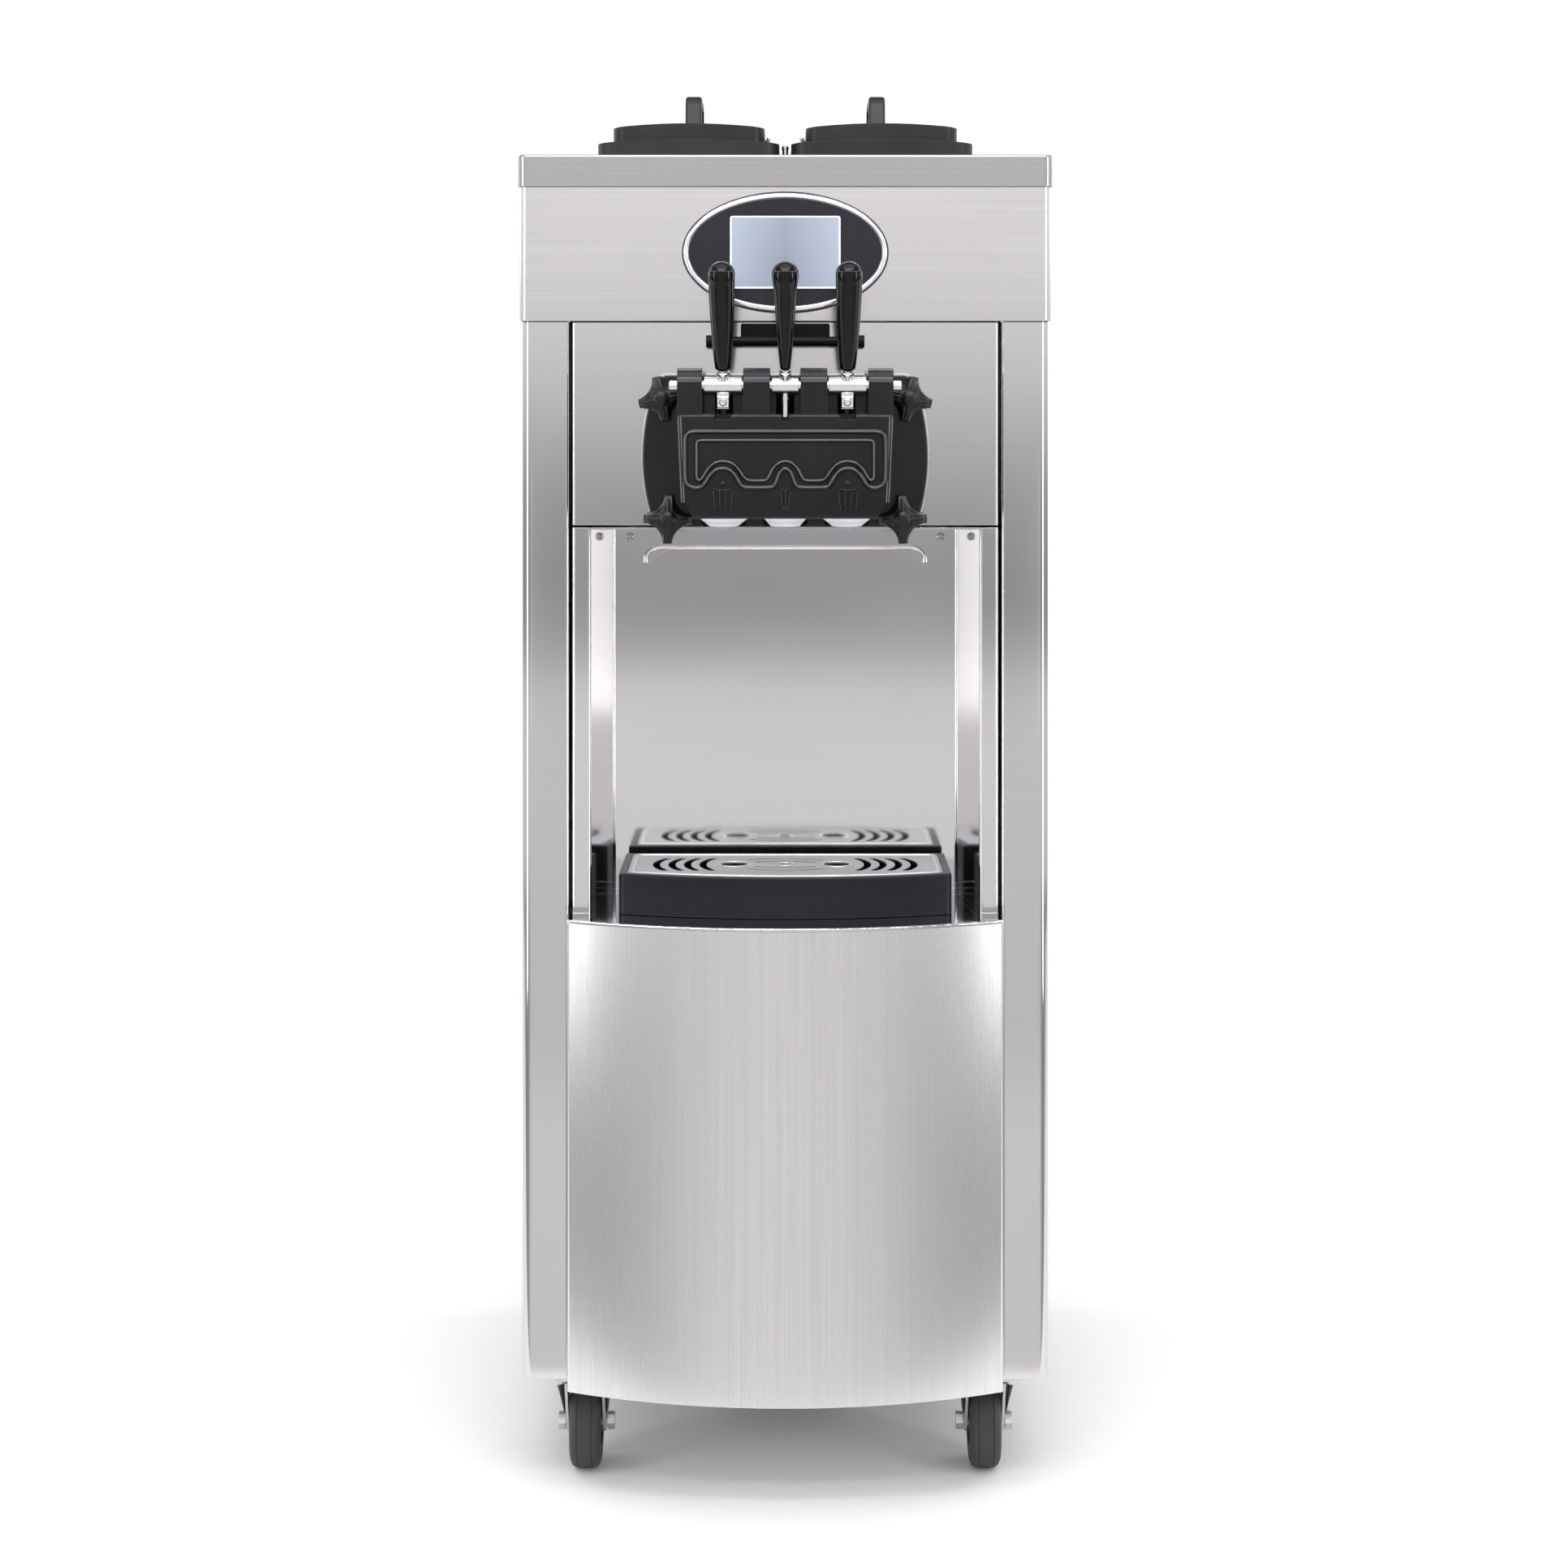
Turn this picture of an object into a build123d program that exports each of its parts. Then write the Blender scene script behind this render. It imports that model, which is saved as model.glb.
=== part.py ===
from build123d import *

import os
from math import cos, radians, sin

# Floor-standing soft-serve ice cream machine: two mix hoppers, one dispensing head with three draw handles.
# Millimetres. +X is the user's right, -Y faces the user, +Z is up. The wheels stand on Z = 0.
os.makedirs("parts", exist_ok=True)

# ---- Driving dimensions ----
sheet = 2.0                                  # stainless panels
body_width = 535.0
column_edge = 219.0                          # half-distance between the two front columns
front_y = -226.0                             # plane of the front columns
rear_y = 374.0
cabinet_bottom = 110.0
bay_floor = 582.0
bay_top = 973.0
hood_bottom = 1182.0
hood_top = 1317.0
counter_top_z = 1349.0
counter_width = 540.0
counter_front = -251.0
corner_radius = 10.0
hood_front = -246.0
running = 0.05                               # radial clearance of a turning or sliding fit

bay_back = -80.0
bay_half_front = 197.0
bay_half_back = 182.5
panel_half = 216.5                           # upper panel and bay strips
door_half = 218.0
door_edge_y = -263.0
door_crown_y = -309.0

tray_half = 168.5
tray_height = 41.0
tray_lift = 0.5                              # gap between tray and deck
tray_rear = -104.0
tray_edge_y = -233.0
tray_crown_y = -261.0
grille_inset = 8.5                           # black rim showing round the grille

hopper_pitch = 100.5
hopper_mid_y = 39.0
hopper_inner = (150.0, 380.0, 140.0)
lid_size = (189.0, 420.0)
lid_step = 15.5                              # how far the upper step is set in

barrel_pitch = 61.5
barrel_z = 1047.0
barrel_radius = 52.0
barrel_wall = 3.0
barrel_rear = 80.0

flange_front = -251.0
flange_top = (127.0, 1127.0)                 # half-width and height of the flange's upper corners
flange_widest = (142.7, 1062.0)
flange_base = (131.0, 974.5)
block_front = -311.0
block_top = 1088.0
block_bottom = 985.0
block_half_top = 106.5
block_half_base = 102.3
nozzle_cap_bottom = 976.0
nozzle_tip_bottom = 971.0
lever_pitch = 61.5
pin_y = -293.0
pin_z = 1116.0
pin_radius = 5.0
boss_radius = 17.5
piston_y = -261.0
piston_radius = 9.0
nose_reach = 34.0                            # from the pivot pin to the end that lifts a piston
nose_drop = 20.0                             # degrees below level at rest
grip_lean = 32.7                             # degrees forward of upright at rest
grip_length = 125.8                          # from the pivot pin to the centre of the ball end
ball_radius = 13.3

display_z = 1250.7
display_half = (102.35, 59.65)

caster_x = 205.5
caster_ys = {"front": -191.0, "rear": 300.0}
caster_trail = 25.0
wheel_radius = 46.0
wheel_width = 32.0

# ---- Worked-out values ----
inside_half = body_width / 2 - sheet - 0.5
bend = 3.0
rear_panel_y = 366.0
lever_names = {"left": -lever_pitch, "centre": 0.0, "right": lever_pitch}
nose_z = pin_z - nose_reach * sin(radians(nose_drop))


def save(piece, name):
    """Label a finished piece and write it to its own STEP file."""
    piece.part.label = name
    export_step(piece.part, f"parts/{name}.step")


def front_plane(y):
    """Sketch plane facing the user: sketch Y is +Z and extrusion runs towards -Y."""
    return Plane.XZ.offset(-y)


def side_plane(x):
    """Sketch plane facing right: sketch X is +Y, sketch Y is +Z and extrusion runs towards +X."""
    return Plane.YZ.offset(x)


def bent_sheet(points, radii, bottom, height):
    """Add an upright wall of sheet metal along the given middle line."""
    with BuildSketch(Plane.XY.offset(bottom)) as section:
        with BuildLine():
            FilletPolyline(*points, radius=radii)
        trace(line_width=sheet)
    extrude(section.sketch, amount=height)


def bowed_outline(half_width, edge_y, crown_y, back_y):
    """Draw a face with a straight back, straight sides and a bowed front."""
    with BuildLine() as outline:
        Polyline((-half_width, edge_y), (-half_width, back_y), (half_width, back_y), (half_width, edge_y))
        ThreePointArc((half_width, edge_y), (0, crown_y), (-half_width, edge_y))
    make_face(outline.edges())


def cylinder_x(x_from, x_to, y, z, radius, mode=Mode.ADD):
    """Add or cut a round bar that runs along X."""
    with BuildSketch(side_plane(x_from)) as section:
        with Locations((y, z)):
            Circle(radius)
    extrude(section.sketch, amount=x_to - x_from, mode=mode)


# ---- Cabinet ----
base_sheet = 3.0
base_height = 36.0
base_half = inside_half - 2.6
base_size = (2 * base_half, 581.5)
base_mid_y = 69.75
with BuildPart() as base_chassis:
    with BuildSketch(Plane.XY.offset(cabinet_bottom)):
        with Locations((0, base_mid_y)):
            Rectangle(*base_size)
    extrude(amount=base_height)
    with BuildSketch(Plane.XY.offset(cabinet_bottom + base_sheet)):
        with Locations((0, base_mid_y)):
            Rectangle(base_size[0] - 2 * base_sheet, base_size[1] - 2 * base_sheet)
    extrude(amount=base_height, mode=Mode.SUBTRACT)
    with BuildSketch(Plane.XY.offset(cabinet_bottom)):
        with Locations((-column_edge - 1, front_y + 16), (column_edge + 1, front_y + 16)):
            Rectangle(6, 24)
    extrude(amount=base_height, mode=Mode.SUBTRACT)
    with BuildSketch(Plane.XY.offset(cabinet_bottom)):
        with Locations((0, -60)):
            with GridLocations(120, 22, 3, 6):
                SlotOverall(90, 8)
    extrude(amount=base_sheet, mode=Mode.SUBTRACT)
save(base_chassis, "base_chassis")

post_leg = 30.0
post_sheet = 3.0
post_top = 1312.0
post_corner_x = base_half - base_sheet - 0.5
post_corners = ((-217.5, 1), (356.5, -1))
with BuildPart() as frame_posts:
    with BuildSketch(Plane.XY.offset(cabinet_bottom + base_sheet)):
        for side in (-1, 1):
            for corner_y, inward in post_corners:
                with Locations((side * (post_corner_x - post_leg / 2), corner_y + inward * post_sheet / 2)):
                    Rectangle(post_leg, post_sheet)
                with Locations((side * (post_corner_x - post_sheet / 2), corner_y + inward * post_leg / 2)):
                    Rectangle(post_sheet, post_leg)
    extrude(amount=post_top - cabinet_bottom)
save(frame_posts, "frame_posts")

side_slot = (120.0, 6.0)
for side, side_name in ((-1, "left"), (1, "right")):
    wall_x = side * (body_width / 2 - sheet / 2)
    with BuildPart() as side_panel:
        bent_sheet(
            [
                (side * (column_edge + 1), front_y + 25),
                (side * (column_edge + 1), front_y + 1),
                (wall_x, front_y + 1),
                (wall_x, rear_y),
            ],
            [bend, corner_radius - 1],
            cabinet_bottom,
            hood_bottom - 0.5 - cabinet_bottom,
        )
        with BuildSketch(side_plane(wall_x - sheet)):
            with Locations((190, 300)):
                with GridLocations(150, 18, 2, 12):
                    SlotOverall(*side_slot)
        extrude(amount=2 * sheet, mode=Mode.SUBTRACT)
    save(side_panel, f"side_panel_{side_name}")

rear_mid_y = rear_panel_y - sheet / 2
rear_panel_top = 1315.0
gland_place = (-190.0, 175.0)
gland_thread = 10.0
with BuildPart() as rear_panel:
    bent_sheet(
        [
            (-inside_half + 1, rear_mid_y - 9),
            (-inside_half + 1, rear_mid_y),
            (inside_half - 1, rear_mid_y),
            (inside_half - 1, rear_mid_y - 9),
        ],
        bend,
        cabinet_bottom + 2,
        rear_panel_top - cabinet_bottom - 2,
    )
    with BuildSketch(front_plane(rear_panel_y + 1)):
        with Locations((90, 300)):
            with GridLocations(1, 16, 1, 16):
                SlotOverall(240, 7)
        with Locations((0, 1080)):
            with GridLocations(150, 16, 2, 8):
                SlotOverall(120, 6)
        with Locations(gland_place):
            Circle(gland_thread + running)
    extrude(amount=2 * sheet, mode=Mode.SUBTRACT)
save(rear_panel, "rear_panel")

hood_wall_x = 268.5 - sheet / 2
hood_wall_y = hood_front + sheet / 2
display_hole = (96.0, 53.0)
with BuildPart() as hood:
    bent_sheet(
        [(-hood_wall_x, rear_y), (-hood_wall_x, hood_wall_y), (hood_wall_x, hood_wall_y), (hood_wall_x, rear_y)],
        corner_radius - 1,
        hood_bottom,
        hood_top - hood_bottom,
    )
    with BuildSketch(Plane.XY.offset(hood_bottom)):
        with Locations((0, (hood_front + front_y + 4) / 2)):
            Rectangle(2 * hood_wall_x - 8, front_y + 4 - hood_front - sheet)
    extrude(amount=sheet)
    with BuildSketch(front_plane(hood_front + 2 * sheet)):
        with Locations((0, display_z)):
            Ellipse(*display_hole)
    extrude(amount=3 * sheet, mode=Mode.SUBTRACT)
save(hood, "hood")

counter_mid_y = (counter_front + rear_y) / 2
counter_depth = rear_y - counter_front
with BuildPart() as counter_top:
    with BuildSketch(Plane.XY.offset(hood_top)):
        with Locations((0, counter_mid_y)):
            RectangleRounded(counter_width, counter_depth, corner_radius)
    extrude(amount=counter_top_z - hood_top)
    fillet(counter_top.faces().sort_by(Axis.Z)[-1].edges(), radius=2.5)
    with BuildSketch(Plane.XY.offset(hood_top)):
        with Locations((0, counter_mid_y)):
            RectangleRounded(counter_width - 2 * sheet, counter_depth - 2 * sheet, corner_radius - sheet)
    extrude(amount=counter_top_z - hood_top - sheet, mode=Mode.SUBTRACT)
    with BuildSketch(Plane.XY.offset(counter_top_z - 2 * sheet)):
        with Locations((-hopper_pitch, hopper_mid_y), (hopper_pitch, hopper_mid_y)):
            RectangleRounded(hopper_inner[0] + 6, hopper_inner[1] + 6, 22)
    extrude(amount=3 * sheet, mode=Mode.SUBTRACT)
save(counter_top, "counter_top")

panel_bottom = bay_top + 2.5
with BuildPart() as upper_panel:
    bent_sheet(
        [
            (-panel_half + 1, front_y + 20),
            (-panel_half + 1, front_y + 1),
            (panel_half - 1, front_y + 1),
            (panel_half - 1, front_y + 20),
        ],
        2.5,
        panel_bottom,
        hood_bottom - 1 - panel_bottom,
    )
    with BuildSketch(front_plane(front_y + 2 * sheet)):
        with Locations((0, barrel_z)):
            SlotOverall(2 * (barrel_pitch + barrel_radius + 1), 2 * (barrel_radius + 1))
    extrude(amount=3 * sheet, mode=Mode.SUBTRACT)
save(upper_panel, "upper_panel")

rim_top = bay_floor + 6.5
bay_path = [
    (-panel_half + 1, front_y + 1),
    (-bay_half_front - 1, front_y + 1),
    (-bay_half_back - 1, bay_back + 1),
    (bay_half_back + 1, bay_back + 1),
    (bay_half_front + 1, front_y + 1),
    (panel_half - 1, front_y + 1),
]
with BuildPart() as bay_liner:
    bent_sheet(
        [(-panel_half + 1, front_y + 20), *bay_path, (panel_half - 1, front_y + 20)],
        [2.5, 2.5, bend, bend, 2.5, 2.5],
        rim_top + 0.5,
        bay_top - rim_top - 0.5,
    )
    with BuildSketch(Plane.XY.offset(bay_top - sheet)):
        with BuildLine():
            Polyline(
                (-bay_half_front - 1, front_y + 1),
                (-bay_half_back - 1, bay_back + 1),
                (bay_half_back + 1, bay_back + 1),
                (bay_half_front + 1, front_y + 1),
                close=True,
            )
        make_face()
    extrude(amount=sheet)
    with BuildSketch(front_plane(bay_back + 0.5)):
        with BuildLine():
            FilletPolyline((-149, 931), (-126, 946.5), (126, 946.5), (149, 931), radius=18)
        trace(line_width=4)
    extrude(amount=2)
save(bay_liner, "bay_liner")

deck = 3.0
with BuildPart() as tray_shelf:
    with BuildSketch(Plane.XY.offset(bay_floor - deck)):
        with BuildLine():
            Polyline(
                (door_half, door_edge_y - 0.5),
                (door_half, front_y + 2),
                (bay_half_front + 1, front_y + 2),
                (bay_half_back + 1, bay_back + 1),
                (-bay_half_back - 1, bay_back + 1),
                (-bay_half_front - 1, front_y + 2),
                (-door_half, front_y + 2),
                (-door_half, door_edge_y - 0.5),
            )
            ThreePointArc((-door_half, door_edge_y - 0.5), (0, door_crown_y - 1), (door_half, door_edge_y - 0.5))
        make_face()
    extrude(amount=deck)
    front_arc = tray_shelf.edges().group_by(Axis.Y)[0].sort_by(Axis.Z)[-1]
    fillet(front_arc, radius=1.4)
    bent_sheet(bay_path, [2.5, bend, bend, 2.5], bay_floor - 1, rim_top - bay_floor + 1)
save(tray_shelf, "tray_shelf")

door_top = bay_floor - deck - 0.4
with BuildPart() as lower_door:
    with BuildSketch(Plane.XY.offset(cabinet_bottom)) as door_outline:
        bowed_outline(door_half, door_edge_y, door_crown_y, front_y - 1)
        fillet(door_outline.vertices().group_by(Axis.Y)[0], radius=4)
    extrude(amount=door_top - cabinet_bottom)
    with BuildSketch(Plane.XY.offset(cabinet_bottom + sheet)):
        bowed_outline(door_half - sheet, door_edge_y + 1.6, door_crown_y + sheet, front_y + 1)
    extrude(amount=door_top - cabinet_bottom - 2 * sheet, mode=Mode.SUBTRACT)
save(lower_door, "lower_door")

bay_screw = (166.0, 957.7)
with BuildPart() as panel_screws:
    with BuildSketch(front_plane(bay_back - 0.05)):
        with Locations((-bay_screw[0], bay_screw[1]), bay_screw):
            Circle(4)
    extrude(amount=2.2)
    with BuildSketch(front_plane(rear_panel_y + 2.3)):
        with Locations((0, 640)):
            with GridLocations(490, 500, 2, 3):
                Circle(5)
    extrude(amount=2.25)
save(panel_screws, "panel_screws")

gland_bore = 5.0
with BuildPart() as cable_gland:
    with BuildSketch(front_plane(rear_y)):
        with Locations(gland_place):
            RegularPolygon(14, 6)
    extrude(amount=rear_y - rear_panel_y - 0.05)
    with BuildSketch(front_plane(rear_y)):
        with Locations(gland_place):
            Circle(gland_thread)
    extrude(amount=26)
    with BuildSketch(front_plane(rear_y)):
        with Locations(gland_place):
            Circle(gland_bore)
    extrude(amount=26, mode=Mode.SUBTRACT)
    fillet(cable_gland.faces().sort_by(Axis.Y)[-1].outer_wire().edges(), radius=1.5)
save(cable_gland, "cable_gland")

# ---- Display ----
ring_front = hood_front - 5
panel_front = hood_front - 3
with BuildPart() as display_ring:
    with BuildSketch(front_plane(hood_front - 0.05)):
        with Locations((0, display_z)):
            Ellipse(*display_half)
            Ellipse(display_half[0] - 4.8, display_half[1] - 5.4, mode=Mode.SUBTRACT)
    extrude(amount=hood_front - ring_front)
    fillet(display_ring.faces().sort_by(Axis.Y)[0].edges(), radius=1.6)
save(display_ring, "display_ring")

with BuildPart() as display_panel:
    with BuildSketch(front_plane(hood_front - 0.05)):
        with Locations((0, display_z)):
            Ellipse(display_half[0] - 5.1, display_half[1] - 5.7)
    extrude(amount=hood_front - panel_front)
    with BuildSketch(front_plane(hood_front + 8)):
        with Locations((0, display_z)):
            Ellipse(display_hole[0] - 0.5, display_hole[1] - 0.5)
    extrude(amount=8.5)
save(display_panel, "display_panel")

screen_size = (111.0, 73.0)
with BuildPart() as display_screen:
    with BuildSketch(front_plane(panel_front - 0.1)):
        with Locations((0, display_z)):
            RectangleRounded(*screen_size, 2)
    extrude(amount=1)
save(display_screen, "display_screen")

with BuildPart() as control_board:
    with BuildSketch(front_plane(hood_front + 22)):
        with Locations((0, display_z)):
            Rectangle(180, 96)
    extrude(amount=13)
    with BuildSketch(front_plane(hood_front + 22)):
        with Locations((0, display_z)):
            with GridLocations(60, 44, 3, 2):
                Rectangle(34, 22)
    extrude(amount=-10)
save(control_board, "control_board")

# ---- Mix system ----
hopper_rim_z = counter_top_z + sheet
spout_radius = 12.0
spout_y = hopper_mid_y - hopper_inner[1] / 2 + 40
spout_bottom = barrel_z + barrel_radius + 0.5
with BuildPart() as hoppers:
    with BuildSketch(Plane.XY.offset(hopper_rim_z - hopper_inner[2])):
        with Locations((-hopper_pitch, hopper_mid_y), (hopper_pitch, hopper_mid_y)):
            RectangleRounded(hopper_inner[0] + 2 * sheet, hopper_inner[1] + 2 * sheet, 20)
    extrude(amount=hopper_inner[2])
    with BuildSketch(Plane.XY.offset(counter_top_z + 0.05)):
        with Locations((-hopper_pitch, hopper_mid_y), (hopper_pitch, hopper_mid_y)):
            RectangleRounded(hopper_inner[0] + 20, hopper_inner[1] + 20, 26)
    extrude(amount=sheet)
    for side in (-1, 1):
        with BuildSketch(Plane.XY.offset(spout_bottom)):
            with Locations((side * barrel_pitch, spout_y)):
                Circle(spout_radius)
        extrude(amount=hopper_rim_z - hopper_inner[2] - spout_bottom + sheet)
    with BuildSketch(Plane.XY.offset(hopper_rim_z - hopper_inner[2] + sheet)):
        with Locations((-hopper_pitch, hopper_mid_y), (hopper_pitch, hopper_mid_y)):
            RectangleRounded(*hopper_inner[:2], 18)
    extrude(amount=hopper_inner[2] + 1, mode=Mode.SUBTRACT)
    with BuildSketch(Plane.XY.offset(spout_bottom)):
        with Locations((-barrel_pitch, spout_y), (barrel_pitch, spout_y)):
            Circle(spout_radius - sheet)
    extrude(amount=150, mode=Mode.SUBTRACT)
save(hoppers, "hoppers")

air_tube_radius = 6.0
with BuildPart() as air_tubes:
    with BuildSketch(Plane.XY.offset(spout_bottom + 30)):
        with Locations((-barrel_pitch, spout_y), (barrel_pitch, spout_y)):
            Circle(spout_radius - sheet - 0.05)
    extrude(amount=70)
    with BuildSketch(Plane.XY.offset(spout_bottom + 30)):
        with Locations((-barrel_pitch, spout_y), (barrel_pitch, spout_y)):
            Circle(air_tube_radius)
    extrude(amount=205)
    with BuildSketch(Plane.XY.offset(spout_bottom + 30)):
        with Locations((-barrel_pitch, spout_y), (barrel_pitch, spout_y)):
            Circle(air_tube_radius - 1.5)
    extrude(amount=205, mode=Mode.SUBTRACT)
save(air_tubes, "air_tubes")

for side, side_name in ((-1, "left"), (1, "right")):
    lid_x = side * hopper_pitch
    lid_bottom = counter_top_z + 0.5
    with BuildPart() as hopper_lid:
        with BuildSketch(Plane.XY.offset(lid_bottom)):
            with Locations((lid_x, hopper_mid_y)):
                RectangleRounded(*lid_size, 20)
        extrude(amount=24)
        with BuildSketch(front_plane(hopper_mid_y + lid_size[1])):
            with BuildLine():
                Polyline(
                    (lid_x + lid_size[0], lid_bottom + 16),
                    (lid_x + lid_size[0], lid_bottom - 5),
                    (lid_x - lid_size[0], lid_bottom - 5),
                    (lid_x - lid_size[0], lid_bottom + 16),
                )
                Spline(
                    (lid_x - lid_size[0], lid_bottom + 16),
                    (lid_x - lid_size[0] / 2, lid_bottom + 19.5),
                    (lid_x, lid_bottom + 23.5),
                    (lid_x + lid_size[0] / 2, lid_bottom + 19.5),
                    (lid_x + lid_size[0], lid_bottom + 16),
                )
            make_face()
        extrude(amount=2 * lid_size[1], mode=Mode.INTERSECT)
    crown_radius = 700.0
    upper_size = (lid_size[0] - 2 * lid_step, lid_size[1] - 2 * lid_step)
    with BuildPart() as upper_step:
        with BuildSketch(Plane.XY.offset(lid_bottom + 12)):
            with Locations((lid_x, hopper_mid_y)):
                RectangleRounded(*upper_size, 16)
        extrude(amount=40)
        with BuildSketch(front_plane(hopper_mid_y + lid_size[1])):
            with Locations((lid_x, lid_bottom + 41.5 - crown_radius)):
                Circle(crown_radius)
        extrude(amount=2 * lid_size[1], mode=Mode.INTERSECT)
    handle_base = lid_bottom + 38
    handle_top = 1438.0
    with BuildPart() as finished_lid:
        add(hopper_lid.part)
        add(upper_step.part)
        with BuildSketch(side_plane(lid_x - 9)):
            with BuildLine():
                FilletPolyline(
                    (hopper_mid_y - 52, handle_base),
                    (hopper_mid_y - 44, handle_top),
                    (hopper_mid_y + 44, handle_top),
                    (hopper_mid_y + 52, handle_base),
                    radius=14,
                )
                Line((hopper_mid_y + 52, handle_base), (hopper_mid_y - 52, handle_base))
            make_face()
        extrude(amount=18)
        fillet(finished_lid.faces().sort_by(Axis.Z)[-1].edges().filter_by(Axis.Y), radius=3)
        with BuildSketch(side_plane(lid_x - 12)):
            with BuildLine():
                FilletPolyline(
                    (hopper_mid_y - 41, handle_base + 4),
                    (hopper_mid_y - 35, handle_top - 10),
                    (hopper_mid_y + 35, handle_top - 10),
                    (hopper_mid_y + 41, handle_base + 4),
                    radius=10,
                )
                Line((hopper_mid_y + 41, handle_base + 4), (hopper_mid_y - 41, handle_base + 4))
            make_face()
        extrude(amount=24, mode=Mode.SUBTRACT)
        with BuildSketch(Plane.XY.offset(lid_bottom)):
            with Locations((lid_x, hopper_mid_y)):
                RectangleRounded(lid_size[0] - 12, lid_size[1] - 12, 16)
        extrude(amount=13, mode=Mode.SUBTRACT)
        with BuildSketch(Plane.XY.offset(lid_bottom)):
            with Locations((lid_x, hopper_mid_y)):
                RectangleRounded(upper_size[0] - 10, upper_size[1] - 10, 12)
        extrude(amount=28, mode=Mode.SUBTRACT)
    save(finished_lid, f"hopper_lid_{side_name}")

with BuildPart() as freezing_barrels:
    with BuildSketch(front_plane(barrel_rear)):
        with Locations((-barrel_pitch, barrel_z), (barrel_pitch, barrel_z)):
            Circle(barrel_radius)
    extrude(amount=barrel_rear - front_y + 2.5)
    with BuildSketch(front_plane(barrel_rear - 6)):
        with Locations((-barrel_pitch, barrel_z), (barrel_pitch, barrel_z)):
            Circle(barrel_radius - barrel_wall)
    extrude(amount=barrel_rear - front_y + 20, mode=Mode.SUBTRACT)
    with BuildSketch(front_plane(barrel_rear + 1)):
        with Locations((-barrel_pitch, barrel_z), (barrel_pitch, barrel_z)):
            Circle(8 + running)
    extrude(amount=20, mode=Mode.SUBTRACT)
    with BuildSketch(Plane.XY.offset(barrel_z)):
        with Locations((-barrel_pitch, spout_y), (barrel_pitch, spout_y)):
            Circle(spout_radius - sheet)
    extrude(amount=barrel_radius + 10, mode=Mode.SUBTRACT)
save(freezing_barrels, "freezing_barrels")

gasket_thickness = 2.4
with BuildPart() as barrel_gaskets:
    with BuildSketch(front_plane(front_y - 2.55)):
        with Locations((-barrel_pitch, barrel_z), (barrel_pitch, barrel_z)):
            Circle(barrel_radius)
            Circle(barrel_radius - barrel_wall, mode=Mode.SUBTRACT)
    extrude(amount=gasket_thickness)
save(barrel_gaskets, "barrel_gaskets")

scraper_radius = 45.0
beater_front = -215.0
beater_length = 280.0
for side, side_name in ((-1, "left"), (1, "right")):
    beater_x = side * barrel_pitch
    with BuildPart() as beater:
        with BuildSketch(front_plane(barrel_rear + 24)):
            with Locations((beater_x, barrel_z)):
                Circle(8)
        extrude(amount=barrel_rear + 24 - beater_front)
        for step in range(4):
            with BuildSketch(front_plane(beater_front + 25 + step * 76)):
                with Locations((beater_x, barrel_z)):
                    Rectangle(2 * scraper_radius, 9)
                    Rectangle(9, 2 * scraper_radius)
            extrude(amount=6)
        with BuildSketch(front_plane(beater_front + beater_length)):
            with Locations((beater_x, barrel_z)):
                with PolarLocations(scraper_radius - 1, 4):
                    Rectangle(4, 12)
        extrude(amount=beater_length)
    save(beater, f"beater_{side_name}")

gearbox_y = barrel_rear + 14
with BuildPart() as gear_motors:
    for side in (-1, 1):
        with BuildSketch(front_plane(gearbox_y + 70)):
            with Locations((side * barrel_pitch, barrel_z - 10)):
                RectangleRounded(108, 118, 12)
        extrude(amount=70)
        with BuildSketch(front_plane(gearbox_y + 190)):
            with Locations((side * barrel_pitch, barrel_z - 10)):
                Circle(48)
        extrude(amount=120)
        with BuildSketch(front_plane(gearbox_y + 12)):
            with Locations((side * barrel_pitch, barrel_z)):
                Circle(8 + running)
        extrude(amount=14, mode=Mode.SUBTRACT)
save(gear_motors, "gear_motors")

# ---- Refrigeration ----
can_place = (-125.0, 90.0)
can_radius = 78.0
can_bottom = cabinet_bottom + base_sheet + 12
with BuildPart() as compressor:
    with BuildSketch(Plane.XY.offset(can_bottom)):
        with Locations(can_place):
            Circle(can_radius)
    extrude(amount=210)
    fillet(compressor.faces().sort_by(Axis.Z)[-1].edges(), radius=40)
    with BuildSketch(Plane.XY.offset(can_bottom)):
        with Locations(can_place):
            RectangleRounded(190, 150, 20)
    extrude(amount=4)
    with BuildSketch(Plane.XY.offset(cabinet_bottom + base_sheet + 0.05)):
        with Locations(can_place):
            with GridLocations(160, 120, 2, 2):
                Circle(9)
    extrude(amount=12)
save(compressor, "compressor")

fan_x = 80.0
fan_z = 300.0
condenser_front = 318.0
condenser_size = (290.0, 280.0, 36.0)
with BuildPart() as condenser:
    with BuildSketch(front_plane(condenser_front + condenser_size[2])):
        with Locations((fan_x, fan_z)):
            Rectangle(*condenser_size[:2])
            with GridLocations(18, 1, 15, 1):
                Rectangle(11, condenser_size[1] - 20, mode=Mode.SUBTRACT)
    extrude(amount=condenser_size[2])
save(condenser, "condenser")

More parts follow.
